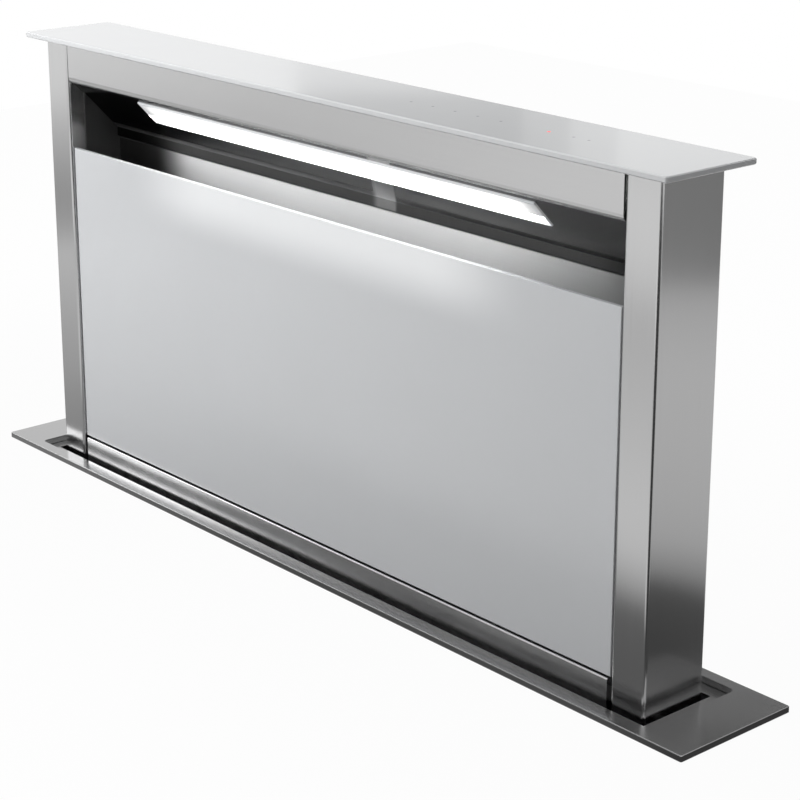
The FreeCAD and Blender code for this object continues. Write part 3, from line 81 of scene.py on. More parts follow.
# ------------------------------------------------------------------ shader maths
class Graph:
    """The node tree of one material or world."""

    def __init__(self, tree: bpy.types.NodeTree) -> None:
        """Start from an empty tree.

        Args:
            tree: the node tree to fill.
        """
        self.tree = tree
        tree.nodes.clear()

    def node(
        self,
        kind: str,
        settings: Mapping[str, object] | None = None,
        values: Mapping[str | int, object] | None = None,
    ) -> bpy.types.Node:
        """Add one node.

        Args:
            kind: the node's type name.
            settings: properties, set first; "stops" fills a colour ramp.
            values: socket names or places, each with a number, a colour or a link.

        Returns:
            The new node.
        """
        made = self.tree.nodes.new(kind)
        for name, value in (settings or {}).items():
            if name == "stops":
                self.fill_ramp(made, value)
            else:
                setattr(made, name, value)
        for place, value in (values or {}).items():
            socket = made.inputs[place]
            if isinstance(value, Signal):
                self.tree.links.new(value.socket, socket)
            elif isinstance(value, bpy.types.NodeSocket):
                self.tree.links.new(value, socket)
            else:
                socket.default_value = value
        return made

    @staticmethod
    def fill_ramp(made: bpy.types.Node, stops: Sequence[tuple[float, Colour]]) -> None:
        """Give a colour ramp its stops.

        Args:
            made: the ramp's node.
            stops: pairs of place and colour, in order.
        """
        ramp = made.color_ramp
        while len(ramp.elements) > 1:
            ramp.elements.remove(ramp.elements[0])
        for index, (place, colour) in enumerate(stops):
            stop = ramp.elements[0] if index == 0 else ramp.elements.new(place)
            stop.position = place
            stop.color = paint(colour)

    def out(self, made: bpy.types.Node, place: str | int = 0) -> "Signal":
        """Wrap one output of a node."""
        return Signal(self, made.outputs[place])

    def show(self, shader: bpy.types.Node, output: str = "ShaderNodeOutputMaterial") -> None:
        """Put a shader on the surface of the material or the world."""
        self.node(output, {}, {"Surface": shader.outputs[0]})

    def emit(self, colour: "Signal | Colour") -> bpy.types.Node:
        """A surface that shows one colour whatever light falls on it."""
        return self.node("ShaderNodeEmission", {}, {"Color": paint(colour), "Strength": 1.0})

    def place(self, scale: Triple | float = 1.0) -> "Signal":
        """The object's own coordinates, in metres.

        Args:
            scale: how much they are multiplied, or how much each axis is.

        Returns:
            The scaled vector.
        """
        factors = scale if isinstance(scale, tuple) else (scale,) * 3
        coordinates = self.node("ShaderNodeTexCoord")
        values = {0: coordinates.outputs["Object"], 1: factors}
        return self.out(self.node("ShaderNodeVectorMath", {"operation": "MULTIPLY"}, values))

    def axes(self, vector: bpy.types.NodeSocket | None = None) -> "tuple[Signal, Signal, Signal]":
        """The x, y and z of a vector, or of the object's own coordinates."""
        parts = self.node("ShaderNodeSeparateXYZ", {}, {0: vector or self.place()})
        return self.out(parts, 0), self.out(parts, 1), self.out(parts, 2)

    def noise(self, scale: Triple | float, detail: float = 2.0, rough: float = 0.5) -> "Signal":
        """Soft noise from 0 to 1.

        Args:
            scale: how fast it changes per metre, or along each axis.
            detail: how many finer layers it has.
            rough: how strong those layers are.

        Returns:
            The noise.
        """
        values = {"Vector": self.place(scale), "Scale": 1.0, "Detail": detail, "Roughness": rough}
        return self.out(self.node("ShaderNodeTexNoise", {}, values))

    def cells(self, scale: float, feature: str = "F1", output: str = "Distance") -> "Signal":
        """Cells of a given size.

        Args:
            scale: cells per metre.
            feature: which distance is measured.
            output: the output's name.

        Returns:
            The distance or colour of each cell.
        """
        values = {"Vector": self.place(), "Scale": scale}
        return self.out(self.node("ShaderNodeTexVoronoi", {"feature": feature}, values), output)

    def blend(
        self, share: "Signal | float", low: "Signal | Sequence[float]", high: "Signal | Sequence[float]"
    ) -> "Signal":
        """Mix two colours.

        Args:
            share: 0 for the first colour, 1 for the second.
            low: the first colour, or a link.
            high: the second colour, or a link.

        Returns:
            The mixed colour.
        """
        values = {0: share, 6: paint(low), 7: paint(high)}
        return self.out(self.node("ShaderNodeMix", {"data_type": "RGBA"}, values), 2)

    def step(self, value: "Signal", low: float, high: float) -> "Signal":
        """Map a value to 0..1 between two limits, smoothly."""
        values = {"Value": value, "From Min": low, "From Max": high, "To Min": 0.0, "To Max": 1.0}
        return self.out(self.node("ShaderNodeMapRange", {"interpolation_type": "SMOOTHSTEP"}, values))

    def bump(self, height: "Signal", strength: float, depth: float) -> "Signal":
        """A normal from a height.

        Args:
            height: the relief, from 0 to 1.
            strength: how much of it shows.
            depth: the relief's real depth.

        Returns:
            The normal.
        """
        values = {"Height": height, "Strength": strength, "Distance": depth}
        return self.out(self.node("ShaderNodeBump", {}, values), "Normal")


def both_ways(operation: str) -> "tuple[Callable[[Signal, object], Signal], ...]":
    """An overloaded operator and its reflected form.

    Args:
        operation: the Math node's operation.

    Returns:
        The method with the signal first, then the one with it second.
    """

    def forward(self: "Signal", other: object) -> "Signal":
        """The signal, then the other."""
        return self.maths(operation, self, other)

    def reflected(self: "Signal", other: object) -> "Signal":
        """The other, then the signal."""
        return self.maths(operation, other, self)

    return forward, reflected


class Signal:
    """One number that changes over a surface, for use in plain arithmetic; | takes the larger."""

    __add__, __radd__ = both_ways("ADD")
    __sub__, __rsub__ = both_ways("SUBTRACT")
    __mul__, __rmul__ = both_ways("MULTIPLY")
    __truediv__, __rtruediv__ = both_ways("DIVIDE")
    __pow__, __rpow__ = both_ways("POWER")
    __or__, __ror__ = both_ways("MAXIMUM")

    def __init__(self, graph: Graph, socket: bpy.types.NodeSocket) -> None:
        """Wrap a socket.

        Args:
            graph: the graph it belongs to.
            socket: the output socket.
        """
        self.graph = graph
        self.socket = socket

    def maths(self, operation: str, *numbers: object) -> "Signal":
        """Add one Math node.

        Args:
            operation: the node's operation.
            numbers: its numbers or links, in order.

        Returns:
            The result.
        """
        values = dict(enumerate(numbers))
        return self.graph.out(self.graph.node("ShaderNodeMath", {"operation": operation}, values))

    def __abs__(self) -> "Signal":
        """This without its sign."""
        return self.maths("ABSOLUTE", self)

    def wave(self) -> "Signal":
        """The sine of this."""
        return self.maths("SINE", self)


def paint(colour: Signal | Sequence[float]) -> Signal | tuple[float, ...]:
    """A colour with its fourth number, or a link as it is."""
    return colour if isinstance(colour, Signal) else (*colour, 1.0)


def shade(colour: Sequence[float], by: float) -> tuple[float, ...]:
    """A colour made darker or lighter, never brighter than white."""
    return tuple(min(1.0, part * by) for part in colour)


def blank(name: str) -> tuple[bpy.types.Material, Graph]:
    """A new material and its empty graph."""
    made = bpy.data.materials.new(name)
    made.use_nodes = True
    return made, Graph(made.node_tree)


# ------------------------------------------------------------------ finishes
class Grain(Enum):
    """The way that brush lines run over a sheet."""

    ALONG_X = (5.0, 1400.0, 1400.0)
    ALONG_Z = (1400.0, 1400.0, 5.0)


@dataclass
class Skin:
    """What a finish gives to the shader: links for what changes, and constants."""

    colour: Signal
    roughness: Signal
    metallic: Signal | float = 0.0
    normal: Signal | None = None
    coat: Signal | float = 0.0
    glow: Signal | None = None
    constants: dict[str, object] = field(default_factory=dict)


@dataclass(frozen=True)
class Finish:
    """A surface finish that makes its own material."""

    title: str

    def skin(self, g: Graph) -> Skin:
        """What the surface looks like."""
        raise NotImplementedError

    @cache
    def material(self) -> bpy.types.Material:
        """The finish's material, built when it is first asked for."""
        made, g = blank(self.title)
        skin = self.skin(g)
        values: dict[str | int, object] = {
            "Base Color": skin.colour,
            "Roughness": skin.roughness,
            "Metallic": skin.metallic,
            "Coat Weight": skin.coat,
        }
        if skin.normal:
            values["Normal"] = skin.normal
        if skin.glow:
            values["Emission Color"] = skin.glow
        g.show(g.node("ShaderNodeBsdfPrincipled", {}, {**values, **skin.constants}))
        made.diffuse_color = (0.6, 0.6, 0.6, 1.0)
        return made


@dataclass(frozen=True)
class BrushedSteel(Finish):
    """Satin stainless sheet with fine brush lines, wider streaks and soft smudges."""

    grain: Grain = Grain.ALONG_X
    tone: float = 0.60
    rough: float = 0.26
    turn: float = 0.0
    stretch: float = 0.55
    line_depth: float = 0.00002

    def skin(self, g: Graph) -> Skin:
        """Brush lines in tone, roughness and relief."""
        lines = g.noise(self.grain.value, 3.0, 0.65)
        streaks = g.noise(tuple(rate / 4 for rate in self.grain.value), 2.0, 0.5)
        smudge = g.noise(7.0, 3.0, 0.55)
        wear = (lines - 0.5) * 0.26 + (streaks - 0.5) * 0.12 + (smudge - 0.5) * 0.25
        low, high = shade((0.90, 0.90, 0.905), self.tone), shade((1.10, 1.10, 1.10), self.tone)
        return Skin(
            colour=g.blend(wear + 0.5, low, high),
            roughness=self.rough + (smudge - 0.5) * 0.08 + (lines - 0.5) * 0.06,
            metallic=1.0,
            normal=g.bump(lines, 0.03, self.line_depth),
            constants={"Anisotropic": self.stretch, "Anisotropic Rotation": self.turn},
        )


@dataclass(frozen=True)
class HoodLining(BrushedSteel):
    """Brushed steel that is polished on the slope round the lamp and satin on the plate below it.

    Its colour carries painted light and shade: the slope is painted darker than the plate, with a
    painted reflection patch, painted light spilling below the lens and painted shade on the strip below
    the fold, and both grades are painted darker towards the two ends.
    """

    plate_top: float = 0.3045
    fold: float = 0.3140
    fold_blur: Pair = (0.001, 0.007)
    # where the painted light below the lens begins and how far it reaches
    lens_foot: float = 0.3358
    lens_spill: float = 0.009
    satin_rough: float = 0.52
    polish_rough: float = 0.20
    edge_tint: float = 0.62
    # where the painted shade towards the two ends begins
    left_fade: Pair = (-0.290, -0.235)
    right_fade: Pair = (0.130, 0.310)
    # the painted reflection patch on the slope: where it rises and falls, its lean and start
    patch_rise: Pair = (0.021, 0.030)
    patch_fall: Pair = (0.049, 0.053)
    patch_lean: float = 0.97
    patch_from_y: float = 0.0183
    patch_rough: float = 0.22
    painted_slope_shade: float = 0.27
    painted_shade_colour: Colour = (0.012, 0.012, 0.012)

    def skin(self, g: Graph) -> Skin:
        """The brushed sheet with its two grades of finish, and painted light and shade in its colour.
        """
        skin = super().skin(g)
        x, y, z = g.axes()
        satin = 1.0 - g.step(z, self.plate_top - 0.0005, self.plate_top + 0.0005)
        left = 1.0 - g.step(x, *self.left_fade)
        right = g.step(x, *self.right_fade)
        below = 1.0 - g.step(z, self.fold - 0.0004, self.fold + 0.0004)
        near = 1.0 - g.step(z, *(self.fold + part for part in self.fold_blur))
        film = (g.noise(7.0, 3.0, 0.55) - 0.5) * 0.05
        skin.roughness = self.polish_rough + near * (self.satin_rough - self.polish_rough) + film
        # painted light: light from the lens spilling onto the slope just below it, painted into the
        # colour
        spill = g.step(z, self.lens_foot - self.lens_spill, self.lens_foot)
        # painted reflection: a brighter slanted patch on the slope, running down over the strip below
        # the fold
        slant = x + (y - self.patch_from_y) * self.patch_lean
        fall = 1.0 - g.step(slant, *self.patch_fall)
        patch = g.step(slant, *self.patch_rise) * fall * (1.0 - satin)
        skin.roughness = skin.roughness + patch * (1.0 - near) * self.patch_rough
        # painted shade: the slope darker than the plate and the strip below the fold darker still, with
        # the painted patch and the painted spill added on top
        slope = self.painted_slope_shade - below * 0.21 + spill * 0.10 + patch * (0.80 - below * 0.62)
        # painted shade: darker towards both ends, the plate most of all at its right end
        painted_end_shade = (1.0 - left * 0.85) * (1.0 - right * (0.12 + satin * 0.48))
        skin.colour = g.blend((slope + satin * 0.94) * painted_end_shade, self.painted_shade_colour, skin.colour)
        skin.constants["Specular Tint"] = (self.edge_tint, self.edge_tint, self.edge_tint, 1.0)
        return skin


@dataclass(frozen=True)
class CoatedGlass(Finish):
    """Satin glass with a pale enamel behind it; on the cover it also carries the touch marks, and on
    the door a painted glow below its top edge.
    """

    tone: Colour = (0.62, 0.63, 0.64)
    rough: float = 0.20
    marks: tuple[Pair, ...] = ()
    mark_height: float = 0.0
    mark_radius: float = 0.0012
    lit_mark: Pair | None = None
    lit_radius: float = 0.0014
    # limits of a painted glow below the top edge
    lit_edge: Triple | None = None
    etch_depth: float = 0.00002

    def edge_glow(self, g: Graph, limits: Triple) -> Signal:
        """A painted glow on the glass below its top edge, standing in for lamplight.

        Args:
            g: the material's graph.
            limits: where the light ends below, its full height and its half length.

        Returns:
            0 for none, 1 at the brightest.
        """
        foot, full, half = limits
        x, _, z = g.axes()
        return g.step(z, foot, full) * (1.0 - g.step(abs(x), half * 0.55, half))

    def spot(self, g: Graph, where: Pair, radius: float) -> Signal:
        """A round spot on a level surface.

        Args:
            g: the material's graph.
            where: the spot's x and y.
            radius: its radius.

        Returns:
            1 inside, 0 outside.
        """
        ends = {0: g.place(), 1: (*where, self.mark_height)}
        away = g.out(g.node("ShaderNodeVectorMath", {"operation": "DISTANCE"}, ends), "Value")
        return 1.0 - g.step(away, radius * 0.8, radius * 1.2)

    def skin(self, g: Graph) -> Skin:
        """Enamel with a faint depth, light etching, finger haze and dust."""
        haze = g.noise(9.0, 4.0, 0.6)
        etch = g.noise(2600.0, 2.0, 0.6)
        dust = g.step(g.noise(260.0, 2.0, 0.7), 0.70, 0.80)
        colour = g.blend(haze, shade(self.tone, 0.975), shade(self.tone, 1.02))
        colour = g.blend(dust * 0.05, colour, (0.9, 0.9, 0.9))
        glow: Signal | None = None
        constants = {"IOR": 1.52, "Coat Roughness": 0.06}
        if self.marks:
            printed = self.spot(g, self.marks[0], self.mark_radius)
            for where in self.marks[1:]:
                printed = printed | self.spot(g, where, self.mark_radius)
            colour = g.blend(printed * 0.55, colour, (0.16, 0.16, 0.17))
        if self.lit_mark:
            lamp = self.spot(g, self.lit_mark, self.lit_radius)
            colour = g.blend(lamp, colour, (0.75, 0.03, 0.02))
            glow = g.blend(lamp, BLACK, (1.0, 0.05, 0.03))
            constants["Emission Strength"] = 1.2
        # painted light: an emission on the door glass below its top edge
        if self.lit_edge:
            glow = g.blend(self.edge_glow(g, self.lit_edge), BLACK, (0.24, 0.24, 0.235))
            constants["Emission Strength"] = 1.0
        return Skin(
            colour=colour,
            roughness=self.rough + (haze - 0.5) * 0.06 + etch * 0.03,
            normal=g.bump(etch, 0.03, self.etch_depth),
            coat=0.35 - dust * 0.3,
            glow=glow,
            constants=constants,
        )


@dataclass(frozen=True)
class ZincSheet(Finish):
    """Zinc-coated sheet with crystal spangle and dull handling marks."""

    tone: float = 0.52
    large_per_metre: float = 85.0
    small_per_metre: float = 210.0
    crystal_depth: float = 0.00012

    def skin(self, g: Graph) -> Skin:
        """Large and small flat crystals of differing tone and shine, under a film of handling marks."""
        large = self.crystals(g, self.large_per_metre)
        small = self.crystals(g, self.small_per_metre)
        fine = g.noise(900.0, 3.0, 0.6)
        stain = g.noise(6.0, 4.0, 0.6)
        flake = large * 0.62 + small * 0.38
        low, high = shade((0.52, 0.54, 0.56), self.tone), shade((1.38, 1.40, 1.42), self.tone)
        return Skin(
            colour=g.blend(flake * 0.66 + stain * 0.22 + fine * 0.12, low, high),
            roughness=0.34 + (flake - 0.5) * 0.26 + (stain - 0.5) * 0.14,
            metallic=0.80,
            normal=g.bump(flake + fine * 0.3, 0.12, self.crystal_depth),
            constants={"Specular IOR Level": 0.5},
        )

    @staticmethod
    def crystals(g: Graph, rate: float) -> Signal:
        """One tone from 0 to 1 for each crystal, at so many crystals a metre."""
        return g.out(g.node("ShaderNodeRGBToBW", {}, {0: g.cells(rate, output="Color")}))


@dataclass(frozen=True)
class MouldedPlastic(Finish):
    """Moulded plastic with a fine spark-eroded texture."""

    tone: Colour = (0.035, 0.036, 0.040)
    rough: float = 0.46
    grains_per_metre: float = 1700.0
    grain_depth: float = 0.00008

    def skin(self, g: Graph) -> Skin:
        """Texture grain with flow marks."""
        grain = g.cells(self.grains_per_metre)
        flow = g.noise((14.0, 30.0, 14.0), 3.0, 0.6)
        return Skin(
            colour=g.blend(flow, shade(self.tone, 0.85), shade(self.tone, 1.2)),
            roughness=self.rough + (flow - 0.5) * 0.12 + (grain - 0.4) * 0.10,
            normal=g.bump(grain, 0.22, self.grain_depth),
            constants={"IOR": 1.48},
        )


@dataclass(frozen=True)
class OpalDiffuser(Finish):
    """Lit opal cover of the lamp, dim at its two ends, with painted shade of the lip along its upper
    edge.
    """

    half_length: float = 0.25
    strength: float = 1.7
    lip: Pair = (-0.0257, 0.3600)
    lean: Pair = (0.691, 0.722)
    # the band along the upper edge that carries painted shade of the lip
    edge: Pair = (0.0060, 0.0076)
    chips: int = 20
    rib_pitch: float = 0.0016
    rib_depth: float = 0.00006

    def skin(self, g: Graph) -> Skin:
        """A soft glow from a row of small sources, with a prismatic relief."""
        x, y, z = g.axes()
        down = (y - self.lip[0]) * self.lean[0] + (self.lip[1] - z) * self.lean[1]
        ends = 1.0 - g.step(abs(x), self.half_length * 0.84, self.half_length) * 0.93
        # painted shade: the upper edge dimmed in colour and glow, standing in for the lip's shadow
        fade = ends * (g.step(down, *self.edge) * 0.90 + 0.10)
        sources = (x * (math.tau * self.chips / (2 * self.half_length))).wave() * 0.02 + 0.98
        ribs = (x * (math.tau / self.rib_pitch)).wave()
        return Skin(
            colour=g.blend(fade, (0.70, 0.72, 0.74), (0.90, 0.91, 0.92)),
            roughness=0.28 + g.noise(60.0) * 0.05,
            normal=g.bump(ribs, 0.08, self.rib_depth),
            glow=g.blend(fade * sources, BLACK, (1.0, 0.99, 0.965)),
            constants={"Emission Strength": self.strength, "IOR": 1.49},
        )


@dataclass(frozen=True)
class DrawnMetal(Finish):
    """Drawn, extruded or turned metal with fine lines round or along it."""

    tone: Colour = (0.66, 0.67, 0.68)
    rough: float = 0.30
    lines: Triple = (40.0, 1500.0, 1500.0)
    line_depth: float = 0.00006

    def skin(self, g: Graph) -> Skin:
        """Tool lines, with a dull film in patches."""
        tool = g.noise(self.lines, 3.0, 0.6)
        film = g.noise(24.0, 4.0, 0.62)
        return Skin(
            colour=g.blend(tool * 0.5 + film * 0.5, shade(self.tone, 0.84), shade(self.tone, 1.10)),
            roughness=self.rough + (tool - 0.5) * 0.12 + (film - 0.5) * 0.12,
            metallic=1.0,
            normal=g.bump(tool, 0.14, self.line_depth),
            constants={"Anisotropic": 0.2},
        )


@dataclass(frozen=True)
class SoftRubber(Finish):
    """Closed-cell foam or moulded rubber."""

    tone: Colour = (0.022, 0.022, 0.024)
    teeth_per_metre: float = 0.0
    pores_per_metre: float = 1300.0
    relief_depth: float = 0.00025

    def skin(self, g: Graph) -> Skin:
        """Open pores, and teeth where it is a belt."""
        pores = g.cells(self.pores_per_metre)
        bloom = g.noise(20.0, 3.0, 0.6)
        relief = pores * 0.5
        if self.teeth_per_metre:
            relief = relief + (g.axes()[0] * (math.tau * self.teeth_per_metre)).wave()
        return Skin(
            colour=g.blend(bloom, shade(self.tone, 0.8), shade(self.tone, 1.7)),
            roughness=0.74 + (bloom - 0.5) * 0.18,
            normal=g.bump(relief, 0.35, self.relief_depth),
            constants={"IOR": 1.45},
        )


@dataclass(frozen=True)
class CircuitBoard(Finish):
    """Coated board with tracks and tinned pads."""

    tracks_per_metre: float = 120.0
    pads_per_metre: float = 240.0
    copper_depth: float = 0.00010

    def skin(self, g: Graph) -> Skin:
        """Tracks and pads from cell edges."""
        tracks = 1.0 - g.step(g.cells(self.tracks_per_metre, "DISTANCE_TO_EDGE"), 0.02, 0.05)
        pads = 1.0 - g.step(g.cells(self.pads_per_metre), 0.16, 0.22)
        film = g.noise(30.0, 2.0, 0.5)
        colour = g.blend(film, (0.012, 0.085, 0.038), (0.020, 0.120, 0.055))
        colour = g.blend(tracks * 0.7, colour, (0.040, 0.210, 0.090))
        return Skin(
            colour=g.blend(pads, colour, (0.62, 0.56, 0.40)),
            roughness=0.30 + pads * 0.15 + film * 0.05,
            metallic=pads * 0.9,
            normal=g.bump(tracks + pads, 0.25, self.copper_depth),
            coat=0.5 - pads * 0.5,
            constants={"Coat Roughness": 0.12},
        )


@dataclass(frozen=True)
class GreaseMesh(Finish):
    """Layers of expanded aluminium mesh, seen as staggered diamonds, with the deeper layer and the gaps
    painted dark as shade.
    """

    pitch_x: float = 0.0052
    pitch_z: float = 0.0026
    strand_edge: Pair = (0.16, 0.34)
    under_edge: Pair = (0.18, 0.40)
    mesh_depth: float = 0.0006

    def skin(self, g: Graph) -> Skin:
        """Diamonds from two crossed waves, over a finer layer that is painted darker as shade."""
        x, _, z = g.axes()
        u = x * (math.tau / self.pitch_x)
        v = z * (math.tau / self.pitch_z)
        crossed = (u * 0.5 + v * 0.5).wave() * (u * 0.5 - v * 0.5).wave()
        strand = 1.0 - g.step(abs(crossed), *self.strand_edge)
        under = (u * 0.9 + v * 0.7 + 1.3).wave() * (u * 0.9 - v * 0.7 + 0.4).wave()
        deep = 1.0 - g.step(abs(under), *self.under_edge)
        # painted shade: the deeper layer and the gaps between strands darker than the top strands
        below = g.blend(deep, (0.03, 0.03, 0.03), (0.26, 0.26, 0.27))
        return Skin(
            colour=g.blend(strand, below, (0.66, 0.67, 0.68)),
            roughness=0.34 + g.noise(30.0, 3.0, 0.6) * 0.12,
            metallic=0.35 + strand * 0.6,
            normal=g.bump(strand + deep * 0.4, 0.7, self.mesh_depth),
            constants={"Specular IOR Level": 0.5},
        )


class Shared:
    """The finishes that several sub-assemblies share."""

    steel_x: Finish = BrushedSteel("brushed_steel_lengthways", Grain.ALONG_X, 0.60, 0.21, 0.25, 0.65)
    zinc: Finish = ZincSheet("spangled_zinc_sheet")
    black_plastic: Finish = MouldedPlastic("black_moulded_plastic")
    grey_plastic: Finish = MouldedPlastic("grey_moulded_plastic", (0.24, 0.25, 0.26), 0.42)
    aluminium: Finish = DrawnMetal("extruded_aluminium")
    bright_steel: Finish = DrawnMetal(
        "turned_steel", (0.56, 0.56, 0.58), 0.22, (1500.0, 1500.0, 60.0)
    )
    board: Finish = CircuitBoard("coated_circuit_board")


# ------------------------------------------------------------------ meshes
def new_piece(name: str, body: str, finish: Finish, mesh: bmesh.types.BMesh) -> bpy.types.Object:
    """Turn a finished bmesh into a piece that rides on a body.

    Args:
        name: the piece's name.
        body: the body it moves with.
        finish: its finish.
        mesh: its geometry, which is freed.

    Returns:
        The new object.
    """
    bmesh.ops.recalc_face_normals(mesh, faces=mesh.faces)
    data = bpy.data.meshes.new(name)
    mesh.to_mesh(data)
    mesh.free()
    data.materials.append(finish.material())
    made = bpy.data.objects.new(name, data)
    bpy.context.scene.collection.objects.link(made)
    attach(made, body)
    log.info("%s made in %s", name, finish.title)
    return made


def sweep(mesh: bmesh.types.BMesh, rings: Sequence[Sequence[Triple]]) -> None:
    """Join rings of points into one tube with closed ends.

    Args:
        mesh: where the faces go.
        rings: equal rings of points, in order.
    """
    made = [[mesh.verts.new(point) for point in ring] for ring in rings]
    count = len(made[0])
    for here, after in zip(made, made[1:]):
        for n in range(count):
            m = (n + 1) % count
            mesh.faces.new((here[n], here[m], after[m], after[n])).smooth = True
    mesh.faces.new(made[0])
    mesh.faces.new(tuple(reversed(made[-1])))


def lathe(mesh: bmesh.types.BMesh, axis_at: Pair, profile: Sequence[Pair], sides: int) -> None:
    """Turn a profile about an upright axis.

    Args:
        mesh: where the faces go.
        axis_at: the axis' x and y.
        profile: pairs of radius and height, from the foot up.
        sides: points round the axis.
    """
    x, y = axis_at
    angles = [math.tau * n / sides for n in range(sides)]
    sweep(mesh, [[(x + r * math.cos(a), y + r * math.sin(a), z) for a in angles] for r, z in profile])


def dress(finish: Finish, *names: str) -> None:
    """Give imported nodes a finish.

    Args:
        finish: the finish for all their slots.
        names: the nodes' names.
    """
    for name in names:
        item = frame["nodes"][name]
        if not item.material_slots:
            item.data.materials.append(finish.material())
        for entry in item.material_slots:
            entry.material = finish.material()
        log.info("%s dressed in %s", name, finish.title)


# ------------------------------------------------------------------ sub-assemblies
@dataclass(frozen=True)
class WorktopTrim:
    """Trim, its gasket and the tray of the well."""

    tone: float = 0.42
    rough: float = 0.19

    def build(self) -> None:
        """Dress the trim."""
        steel = BrushedSteel("brushed_steel_trim", Grain.ALONG_X, self.tone, self.rough)
        dress(steel, "trim_frame", "well_tray")
        dress(SoftRubber("closed_cell_foam"), "trim_gasket")


@dataclass(frozen=True)
class LiftingHead:
    """Posts, cover, fascia, lit hood and everything fixed to them."""

    cover_tone: Colour = (0.592, 0.60, 0.610)
    cover_rough: float = 0.15
    cover_top: float = 0.4031
    touch_row: float = -0.0009
    touch_first: float = 0.0913
    touch_pitch: float = 0.025
    touch_count: int = 5
    light_gap: float = 0.050
    dot_step: float = 0.015

    def cover(self) -> CoatedGlass:
        """The cover's glass, with the marks over the touch board and the one that is lit."""
        keys = [self.touch_first + self.touch_pitch * n for n in range(self.touch_count)]
        light = keys[-1] + self.light_gap
        dots = [light + self.touch_pitch, light + self.touch_pitch + self.dot_step]
        return CoatedGlass(
            "cover_glass_enamel",
            self.cover_tone,
            self.cover_rough,
            marks=tuple((x, self.touch_row) for x in keys + dots),
            mark_height=self.cover_top,
            lit_mark=(light, self.touch_row),
        )

    def build(self) -> None:
        """Dress the head."""
        dress(self.cover(), "cover_glass")
        upright = BrushedSteel("brushed_steel_upright", Grain.ALONG_Z, 0.60, 0.18, 0.0, 0.75)
        dress(upright, "post_left", "post_right")
        # painted shade: the cavity caps and the filter ledge take a very dark steel that stands in for
        # the shade in the cavity
        dress(BrushedSteel("painted_shade_dark_steel", Grain.ALONG_Z, 0.10, 0.34), "cavity_caps", "filter_ledge")
        dress(Shared.steel_x, "fascia", "rear_panel", "cover_pan")
        # painted light: the lower rail is a lighter copy of the lengthways brushed steel
        dress(BrushedSteel("brushed_steel_rail", Grain.ALONG_X, 0.80, 0.21, 0.25, 0.65), "lower_rail")
        dress(HoodLining("brushed_steel_lining", Grain.ALONG_X, 0.62, 0.40, 0.25, 0.90), "hood_liner")
        dress(Shared.zinc, "head_base")
        dress(OpalDiffuser("lit_opal_diffuser"), "lamp_lens")
        dress(Shared.aluminium, "lamp_channel")
        dress(Shared.board, "led_strip", "touch_board")
        dress(Shared.black_plastic, "door_catches", "guide_shoes")
        dress(DrawnMetal("turned_brass", (0.70, 0.52, 0.24), 0.26, (1500.0, 1500.0, 60.0)), "lift_nuts")
        dress(Shared.bright_steel, "rear_screws")


@dataclass(frozen=True)
class GlassDoor:
    """Tilting glass door with the steel frame behind it."""

    tone: Colour = (0.562, 0.573, 0.588)
    rough: float = 0.16
    # where the painted glow on the glass ends below, its full height and its half length
    lamplight: Triple = (0.248, 0.290, 0.26)

    def build(self) -> None:
        """Dress the door."""
        glass = CoatedGlass("door_glass_enamel", self.tone, self.rough, lit_edge=self.lamplight)
        dress(glass, "door_glass")
        dress(Shared.steel_x, "door_frame")


@dataclass(frozen=True)
class GreaseFilters:
    """Three filters behind the door."""

    def build(self) -> None:
        """Dress the filters."""
        dress(Shared.aluminium, "filter_frames")
        dress(GreaseMesh("layered_grease_mesh"), "filter_meshes")


